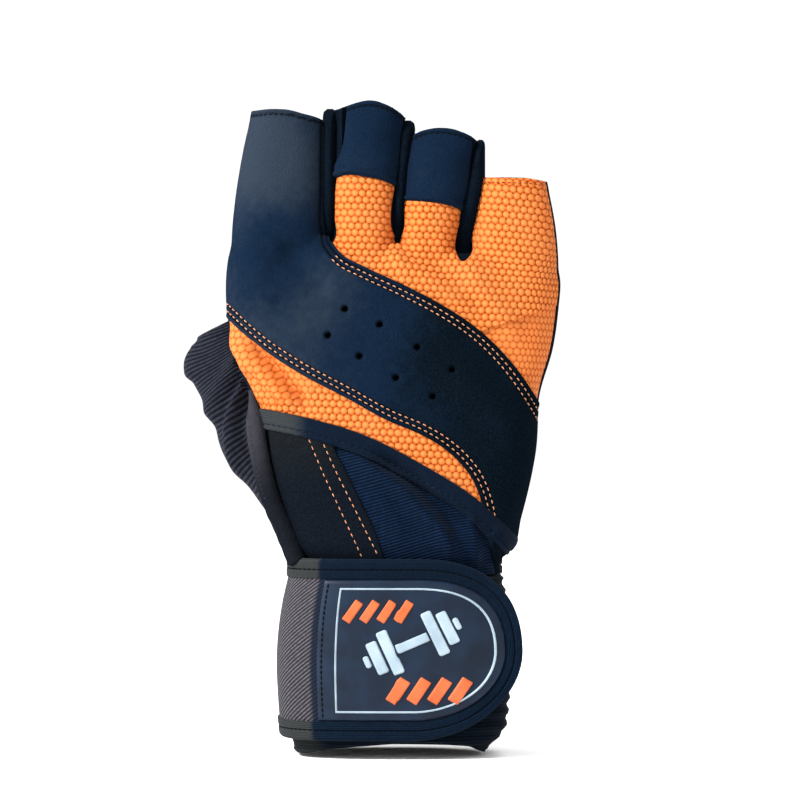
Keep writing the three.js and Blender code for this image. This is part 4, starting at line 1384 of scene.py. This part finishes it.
def strap_point(along, z, out):
    """Place on the strap: distance from its round tip, height and distance out from the wrist."""
    angle = np.interp(along, STRAP_ALONG, STRAP_ANGLES)
    place = wrist_point(angle, z, out)
    ahead = unit(place - wrist_point(angle - 0.02, z, out))
    return place + ahead * np.maximum(FLAP_LENGTH - along, 0)[..., None]


def grid_faces(rows, columns, round_rows=False):
    """Triangles between neighbours of a grid of points; round_rows joins the last row to the first."""
    index = np.arange(rows * columns).reshape(rows, columns)
    if round_rows:
        index = np.vstack([index, index[:1]])
    a, b, c, d = index[:-1, :-1], index[1:, :-1], index[1:, 1:], index[:-1, 1:]
    return np.stack([a, b, c, a, c, d], axis=-1).reshape(-1, 3)


def bent_sheet(name, along, z, low, high, material):
    """A sheet bent round the wrist over a grid of places, between two distances out."""
    outer, inner = (strap_point(along, z, out + 0 * z).reshape(-1, 3) for out in (high, low))
    points, faces = closed(outer, inner, grid_faces(*along.shape))
    places = np.tile(np.stack([along.ravel(), z.ravel()], axis=1), (2, 1))
    return new_object(name, points, faces, material, places)


def end_curve(angle, inset):
    """Place on the strap's round end moved inwards: the angle runs from its top over the tip."""
    long, tall = ROUND_END_LENGTH - inset, STRAP_HEIGHT / 2 - inset
    power = np.where(angle < 0, UPPER_END_POWER, 2.0)
    along = ROUND_END_LENGTH - long * np.cos(angle) ** (2 / power)
    return along, STRAP_MIDDLE - tall * np.sign(angle) * np.abs(np.sin(angle)) ** (2 / power)


def strap_plate():
    """The strap's twill, inside its binding."""
    turn = np.radians(np.linspace(3, 90, END_STEPS))
    inset = BINDING_WIDTH - 0.6
    (along, top), (_, bottom) = end_curve(-turn, inset), end_curve(turn, inset)
    straight = np.linspace(ROUND_END_LENGTH, STRAP_LENGTH - 0.5, STRAIGHT_STEPS)[1:]
    along = np.concatenate([along, straight])
    top, bottom = (
        np.concatenate([edge, np.full(len(straight), edge[-1])])[:, None] for edge in (top, bottom))
    share = np.linspace(-1, 1, STRAP_LEVELS)
    z = (top + bottom) / 2 + (top - bottom) / 2 * share
    swell = 0.2 * np.sin(along / 9.0)[:, None] * (1 - share ** 2)
    middle = STRAP_OFFSET + swell
    half_wall = STRAP_THICKNESS / 2
    return bent_sheet(
        "strap_twill", along[:, None] + 0 * z, z, middle - half_wall, middle + half_wall, TWILL)


def outline_station(turn, inset):
    """Place on the strap's outline moved inwards: turn runs from the end of the top edge, round the
    tip and along the bottom edge."""
    along, z = end_curve(np.clip(turn, -1, 1) * math.pi / 2 * (1 - 1e-9), inset)
    return along + (STRAP_LENGTH - ROUND_END_LENGTH) * np.maximum(np.abs(turn) - 1, 0), z


def binding_profile():
    """Outline of the binding's section: inset from the edge, and distance out from its middle."""
    inset = np.concatenate([
        [BINDING_WIDTH, BINDING_WIDTH - 0.25], np.arange(5.9, 0.3, -0.14), [0.2, 0.05, 0]])
    ribs = 0.09 * np.cos(inset * 2 * math.pi / BINDING_RIB) * step(inset, 0.4, 1.0)
    groove = -0.5 * hump(inset, BINDING_GROOVE, 0.32)
    thick = BINDING_THICKNESS / 2 - 0.1
    face = thick * rounded(inset, 1.5) * rounded(BINDING_WIDTH - inset + 0.3, 0.7) + ribs + groove
    back = -thick * rounded(inset[::-4], 1.5)
    return np.concatenate([inset, inset[::-4]]), np.concatenate([face, back])


def strap_binding():
    """The ribbed tape round the strap's edge."""
    inset, out = binding_profile()
    far = 1 + (STRAP_LENGTH - 0.3 - ROUND_END_LENGTH) / (STRAP_LENGTH - ROUND_END_LENGTH)
    straight = np.linspace(1, far, STRAIGHT_STEPS)[1:]
    turn = np.concatenate([-straight[::-1], np.linspace(-1, 1, 110), straight])
    along, z = outline_station(turn[:, None] + 0 * inset, inset)
    points = strap_point(along, z, STRAP_OFFSET + out + 0 * z)
    faces = tube_faces(*points.shape[:2])
    weave = np.stack([inset + 0 * along, along], axis=-1).reshape(-1, 2)
    return new_object("strap_binding_elastic", points.reshape(-1, 3), faces, BINDING_CLOTH, weave)


def wrap_tube():
    """The wrist wrap: a tube with soft ridges, whose front edge arches up."""
    angle = np.linspace(0, 2 * math.pi, WRAP_SIDES, endpoint=False)
    share = np.linspace(0, 1, WRAP_LEVELS)
    edge = wrist_point(angle, np.full(WRAP_SIDES, 2.0), 0.0)
    x, z = np.array(WRAP_EDGE).T
    foot = np.where(edge[:, 1] < 0, smooth(edge[:, 0], x, z), 0.0)
    height = foot[:, None] + (WRAP_HEIGHT - foot)[:, None] * share
    right = step(np.cos(angle), 0.2, 0.9)[:, None]
    ridges = np.cos((height - 9.0) * 2 * math.pi / 4.4)
    rim = np.minimum(height - foot[:, None], WRAP_HEIGHT - height)
    around = np.repeat(angle, WRAP_LEVELS).reshape(WRAP_SIDES, WRAP_LEVELS)
    out = (0.2 + 0.35 * right * step(height, 3.0, 7.0)) * ridges - 0.9 * (1 - rounded(rim, 1.1))
    out = out - 0.2 + right * (0.5 - 2.2 * (1 - step(height, 1.0, 8.0)))
    outer = wrist_point(around, height, out).reshape(-1, 3)
    inner = wrist_point(around, height, -WRAP_WALL + 0 * height).reshape(-1, 3)
    points, faces = closed(outer, inner, grid_faces(WRAP_SIDES, WRAP_LEVELS, round_rows=True))
    weave = np.tile(np.stack([height.ravel(), (around * WRIST_WIDTH / 2).ravel()], axis=1), (2, 1))
    return new_object("wrap_elastic", points, faces, WRAP_CLOTH, weave)


pieces["strap"] = strap_plate()
pieces["strap_binding"] = strap_binding()
pieces["wrist_wrap"] = wrap_tube()


# The patch and its raised design, drawn on the flat strap: x to the right of the patch's left
# edge, z from the strap's middle
PATCH_INSET = BINDING_WIDTH + 0.3
PATCH_TALL = STRAP_HEIGHT / 2 - PATCH_INSET
PATCH_FOOT = STRAP_OFFSET + STRAP_THICKNESS / 2
PATCH_TOP = PATCH_FOOT + PATCH_THICKNESS
DESIGN_RAISE = 0.45
BAR_LEAN = -32.0


def patch_edge(flat):
    """Distance inside the patch's outline."""
    along = PATCH_LENGTH - flat[:, 0]
    bend = np.maximum(ROUND_END_LENGTH - along, 0) / (ROUND_END_LENGTH - PATCH_INSET)
    power = np.where(flat[:, 1] > 0, UPPER_END_POWER, 2.0)
    reach = (bend ** power + np.abs(flat[:, 1] / PATCH_TALL) ** power) ** (1 / power)
    round_side = (1 - reach) * PATCH_TALL
    return np.minimum(round_side, flat[:, 0])


def bar(middle, size, turn=0.0, corner=0.4):
    """Zone of a bar with rounded corners, turned by some degrees."""
    def zone(flat):
        lean = math.radians(turn)
        offset = flat - np.array(middle)
        local = np.abs(np.stack([
            offset @ [math.cos(lean), math.sin(lean)],
            offset @ [-math.sin(lean), math.cos(lean)],
        ], axis=1)) - np.array(size) / 2 + corner
        return corner - np.linalg.norm(np.maximum(local, 0), axis=1) - np.minimum(local.max(1), 0)
    return zone


def dumbbell(middle, turn):
    """Zones of a dumbbell's handle and plates."""
    lean = math.radians(turn)
    ahead = np.array([math.cos(lean), math.sin(lean)])
    zones = [bar(middle, (10.5, 3.0), turn)]
    for side in (-1, 1):
        for place, size in ((7.6, (3.6, 15.0)), (11.9, (3.6, 11.0)), (15.2, (1.9, 4.0))):
            zones.append(bar(middle + side * place * ahead, size, turn, 0.8))
    return zones


def raised(name, zone, low, high, material, radius, cell):
    """A plate on the patch, cut from a flat grid; the patch itself is one too."""
    x = np.arange(-1, PATCH_LENGTH - PATCH_INSET + 1, cell)
    z = np.arange(-PATCH_TALL - 1, PATCH_TALL + 1, cell)
    grid = np.stack(np.meshgrid(x, z, indexing="ij"), axis=-1).reshape(-1, 2)
    cloth = np.hstack([grid, np.zeros((len(grid), 4))])
    cloth, faces = cut(cloth, grid_faces(len(x), len(z)), lambda points: zone(points[:, :2]))
    flat = cloth[:, :2]
    rise = low + (high - low) * (0.25 + 0.75 * rounded(zone(flat), radius))
    along, height = PATCH_LENGTH - flat[:, 0], STRAP_MIDDLE + flat[:, 1]
    outer, inner = (strap_point(along, height, out) for out in (rise, low + 0 * rise))
    points, faces = closed(outer, inner, faces[:, ::-1])
    return new_object(name, points, faces, material)


def either(zones):
    return lambda flat: np.max([zone(flat) for zone in zones], axis=0)


def outline_zone(flat):
    """Zone of the line that runs inside the patch's edge."""
    return 0.35 - np.abs(np.minimum(patch_edge(flat), flat[:, 0] - 3.4) - 2.9)


def patch_with_design():
    """The rubber patch, and on it an outline, a dumbbell and two rows of slanting bars."""
    made = raised("patch_face", patch_edge, PATCH_FOOT - 0.1, PATCH_TOP, PATCH_RUBBER, 0.8, 0.7)
    low, high = PATCH_TOP - 0.2, PATCH_TOP + DESIGN_RAISE
    raised("patch_outline", outline_zone, low, PATCH_TOP + 0.3, PALE_RUBBER, 0.3, 0.3)
    weights = either(dumbbell(np.array([30.0, 2.5]), 24.0))
    raised("patch_dumbbell", weights, low, high, PALE_RUBBER, 0.4, 0.3)
    sweep = [bar((25.5 + 6.4 * i, -13.0), (3.8, 8.6), BAR_LEAN) for i in range(4)]
    sweep += [bar((11.0 + 5.4 * i, 12.6), (3.0, 7.5), BAR_LEAN) for i in range(4)]
    raised("patch_bars", either(sweep), low, high, ORANGE_RUBBER, 0.4, 0.3)
    return made


pieces["strap_patch"] = patch_with_design()


def roll():
    """The padded suede roll at the thumb's base, with slight wrinkles across it."""
    marks = np.stack([ROLL_ROWS["across"] * HAND_WIDTH, ROLL_ROWS["deep"] * HAND_DEPTH,
                      ROLL_ROWS["up"] * GLOVE_LENGTH], axis=1)
    line = curve(marks, ROLL_RINGS)
    ahead = unit(np.gradient(line, axis=0))
    side = unit(np.cross(ahead, [0, -1, 0]))
    front = np.cross(side, ahead)
    turn = np.linspace(0, 2 * math.pi, ROLL_SIDES, endpoint=False)
    place = np.linspace(0, 1, ROLL_RINGS)
    ends = (0.3 + 0.7 * step(place, 0.0, 0.22)) * (0.4 + 0.6 * rounded(1 - place, 0.02))
    radius = (ROLL_DIAMETER / 2 * ends)[:, None] * (
        1 + 0.02 * np.sin(place * 47)[:, None] * np.cos(turn - 1) + 0.015 * np.sin(place * 81 + 2)[:, None])
    points = rings_round(line, side, front, radius, turn).reshape(-1, 3)
    return new_object("thumb_roll_suede", points, tube_faces(ROLL_RINGS, ROLL_SIDES), ROLL_SUEDE)


pieces["thumb_roll"] = roll()


# Stitches
def surface_of(*objects):
    """The joined surface of some pieces in millimetres, to lay stitches on."""
    points, faces = [], []
    for made in objects:
        start = sum(len(part) for part in points)
        place = np.empty(len(made.data.vertices) * 3)
        made.data.vertices.foreach_get("co", place)
        points.append(place.reshape(-1, 3) / MM)
        faces += [[start + corner for corner in face.vertices] for face in made.data.polygons]
    return BVHTree.FromPolygons(np.vstack(points).tolist(), faces)


def laid_on(tree, flat):
    """Points and normals where the camera's rays through seen places meet a surface."""
    eye = Vector((VIEW_CENTRE[0], -CAMERA_DISTANCE, VIEW_CENTRE[1]))
    hits = []
    for x, z in flat:
        place, normal, _, _ = tree.ray_cast(eye, (Vector((x, 0, z)) - eye).normalized())
        if place:
            hits.append((*place, *(normal if normal.y < 0 else -normal)))
    hits = np.array(hits)
    return hits[:, :3], hits[:, 3:]


def shifted(line, distance):
    """A flat line moved to its left."""
    run = unit(np.gradient(line, axis=0))
    return line + distance * np.stack([-run[:, 1], run[:, 0]], axis=1)


def stitches(name, rows, material, size):
    """Rows of short thread arches; each row is a line of points with its normals."""
    pitch, length, width = size
    turn = np.arange(GRAIN_RINGS + 1) * math.pi / GRAIN_RINGS
    spin = np.arange(GRAIN_SIDES) * 2 * math.pi / GRAIN_SIDES
    points, faces = [], []
    for line, normals in rows:
        place = lengths_along(line)
        for middle in np.arange(pitch / 2, place[-1] - length / 2, pitch):
            at = middle - length / 2 * np.cos(turn)
            spine = np.stack([np.interp(at, place, axis) for axis in line.T], axis=1)
            lift = np.stack([np.interp(at, place, axis) for axis in normals.T], axis=1)
            ahead = unit(spine[-1] - spine[0])
            side = unit(np.cross(lift, ahead))
            thick = width / 2 * np.maximum(np.sin(turn), 0.25) ** 0.7
            spine = spine + lift * (width * 0.55 * np.sin(turn) - width * 0.25)[:, None]
            start = len(points) * len(spine) * GRAIN_SIDES
            points.append(rings_round(spine, side, lift, thick[:, None], spin).reshape(-1, 3))
            faces += tube_faces(len(spine), GRAIN_SIDES, start)
    return new_object(name, np.vstack(points), faces, material)


def seam_rows():
    """The double rows along both edges of the navy panel."""
    tree = surface_of(pieces["back_panel"])
    upper = KNUCKLE_LINE[(KNUCKLE_LINE[:, 0] > -19.6) & (KNUCKLE_LINE[:, 0] < 60)]
    lower = LOWER_LINE[(LOWER_LINE[:, 0] > -62) & (LOWER_LINE[:, 1] > 75)]
    rows = []
    for line, side in ((upper, -1), (lower, 1)):
        for row in SEAM_ROWS:
            rows.append(laid_on(tree, curve(shifted(line, side * row), 260)))
    return rows


def hem_row(finger, owner):
    """Stitches of a finger's hem, below its mouth."""
    line = curve(MOUTHS[finger], 120) - [0, HEM_STITCH]
    return laid_on(surface_of(pieces[owner]), line[4:-4])


def on_strap(along, z, out):
    """Points on the strap, and the directions out of it."""
    line = strap_point(along, z, out + 0 * z)
    return line, unit(strap_point(along, z, out + 1 + 0 * z) - line)


def patch_row():
    """The stitches beside the patch's straight edge."""
    reach = PATCH_TALL - 0.8
    z = np.linspace(STRAP_MIDDLE - reach, STRAP_MIDDLE + reach, 60)
    return on_strap(PATCH_LENGTH - 1.9 + 0 * z, z, PATCH_TOP)


def binding_row():
    """The stitches in the binding's groove, from the strap's end round the tip and back."""
    straight = np.linspace(1, 1.72, 240)[1:]
    turn = np.concatenate([-straight[::-1], np.linspace(-1, 1, 320), straight])
    return on_strap(*outline_station(turn, BINDING_GROOVE), STRAP_OFFSET + 1.35)


def tape_row():
    """The stitches along the tape's foot."""
    line = curve(shifted(TAPE_LINE[1:-1], TAPE_FOOT - TAPE_WIDTH), 300)
    shown = line[(line[:, 0] > -44) & (line[:, 0] < 33)]
    return laid_on(surface_of(pieces["diagonal_binding"]), shown)


def roll_row():
    """The fine stitches along the roll's outer side."""
    tree = surface_of(pieces["thumb_roll"])
    marks = np.stack([ROLL_ROWS["across"] * HAND_WIDTH, ROLL_ROWS["up"] * GLOVE_LENGTH], axis=1)
    return laid_on(tree, shifted(curve(marks, 160), -2.3)[30:100])


side_tree = surface_of(pieces["thumb_side_panel"])
hem_owners = {"index": "back_panel", "middle": "middle_band", "ring": "ring_band"}
stitches("seam_stitches", seam_rows(), PEACH_THREAD, SEAM_SIZE)
stitches("side_stitches", [laid_on(side_tree, line) for line in SIDE_ROWS], PEACH_THREAD, SIDE_SIZE)
stitches("hem_stitches", [hem_row(*pair) for pair in hem_owners.items()], NAVY_THREAD, HEM_SIZE)
stitches("pinky_hem_stitches", [hem_row("pinky", "knuckle_panel")], ORANGE_THREAD, HEM_SIZE)
stitches("tape_stitches", [tape_row()], SOFT_THREAD, TAPE_SIZE)
stitches("roll_stitches", [roll_row()], GREY_THREAD, ROLL_SIZE)
stitches("patch_stitches", [patch_row()], NAVY_THREAD, PATCH_SIZE)
stitches("binding_stitches", [binding_row()], NAVY_THREAD, BINDING_SIZE)


# Stage, lights and camera
def camera():
    data = bpy.data.cameras.new("camera")
    data.sensor_width = SENSOR_WIDTH
    data.lens = SENSOR_WIDTH * CAMERA_DISTANCE / VIEW_WIDTH
    data.clip_end = CLIP_END
    made = bpy.data.objects.new("camera", data)
    made.location = (VIEW_CENTRE[0] * MM, -CAMERA_DISTANCE * MM, VIEW_CENTRE[1] * MM)
    made.rotation_euler = (math.pi / 2, 0, 0)
    bpy.context.collection.objects.link(made)
    bpy.context.scene.camera = made


def light(name, place, size, power):
    data = bpy.data.lights.new(name, "AREA")
    data.shape = "DISK"
    data.size = size
    data.energy = power
    made = bpy.data.objects.new(name, data)
    made.location = place
    made.rotation_euler = (Vector(LIGHT_AIM) - Vector(place)).to_track_quat("-Z", "Y").to_euler()
    bpy.context.collection.objects.link(made)


def floor():
    signs = ((-1, -1), (1, -1), (1, 1), (-1, 1))
    corners = [(x * FLOOR_REACH, y * FLOOR_REACH, FLOOR_LEVEL) for x, y in signs]
    mesh = bpy.data.meshes.new("floor")
    mesh.from_pydata(corners, [], [(0, 1, 2, 3)])
    made = bpy.data.objects.new("floor", mesh)
    paper, tree = new_material("floor_paper")
    color = mix(tree, noise(tree, 40.0), (0.95, 0.95, 0.95, 1), (0.97, 0.97, 0.97, 1))
    finish_material(tree, color, noise(tree, 1.0), 0.02, 0.9)
    mesh.materials.append(paper)
    bpy.context.collection.objects.link(made)


def world():
    made = bpy.data.worlds.new("studio")
    made.use_nodes = True
    made.node_tree.nodes["Background"].inputs["Color"].default_value = (1, 1, 1, 1)
    made.node_tree.nodes["Background"].inputs["Strength"].default_value = WORLD_STRENGTH
    bpy.context.scene.world = made


# Stitches and small pieces, listed under the material slots they belong to
EXTRA_SLOTS = {
    "navy_suede": ["seam_stitches", "hem_stitches", *("slot_wall_" + name for name in WEBS)],
    "dark_suede": ["side_stitches"],
    "grey_suede": ["roll_stitches"],
    "orange_bubble": ["pinky_hem_stitches"],
    "navy_elastic": ["tape_stitches", "binding_stitches"],
    "navy_rubber": ["patch_outline", "patch_dumbbell", "patch_bars", "patch_stitches"],
}

for node_name, piece in pieces.items():
    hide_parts(node_name)
for slot, names in EXTRA_SLOTS.items():
    for name in names:
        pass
camera()
floor()
world()
for name, (place, size, power) in LIGHTS.items():
    light(name, place, size, power)
bpy.context.scene.view_settings.view_transform = "Standard"
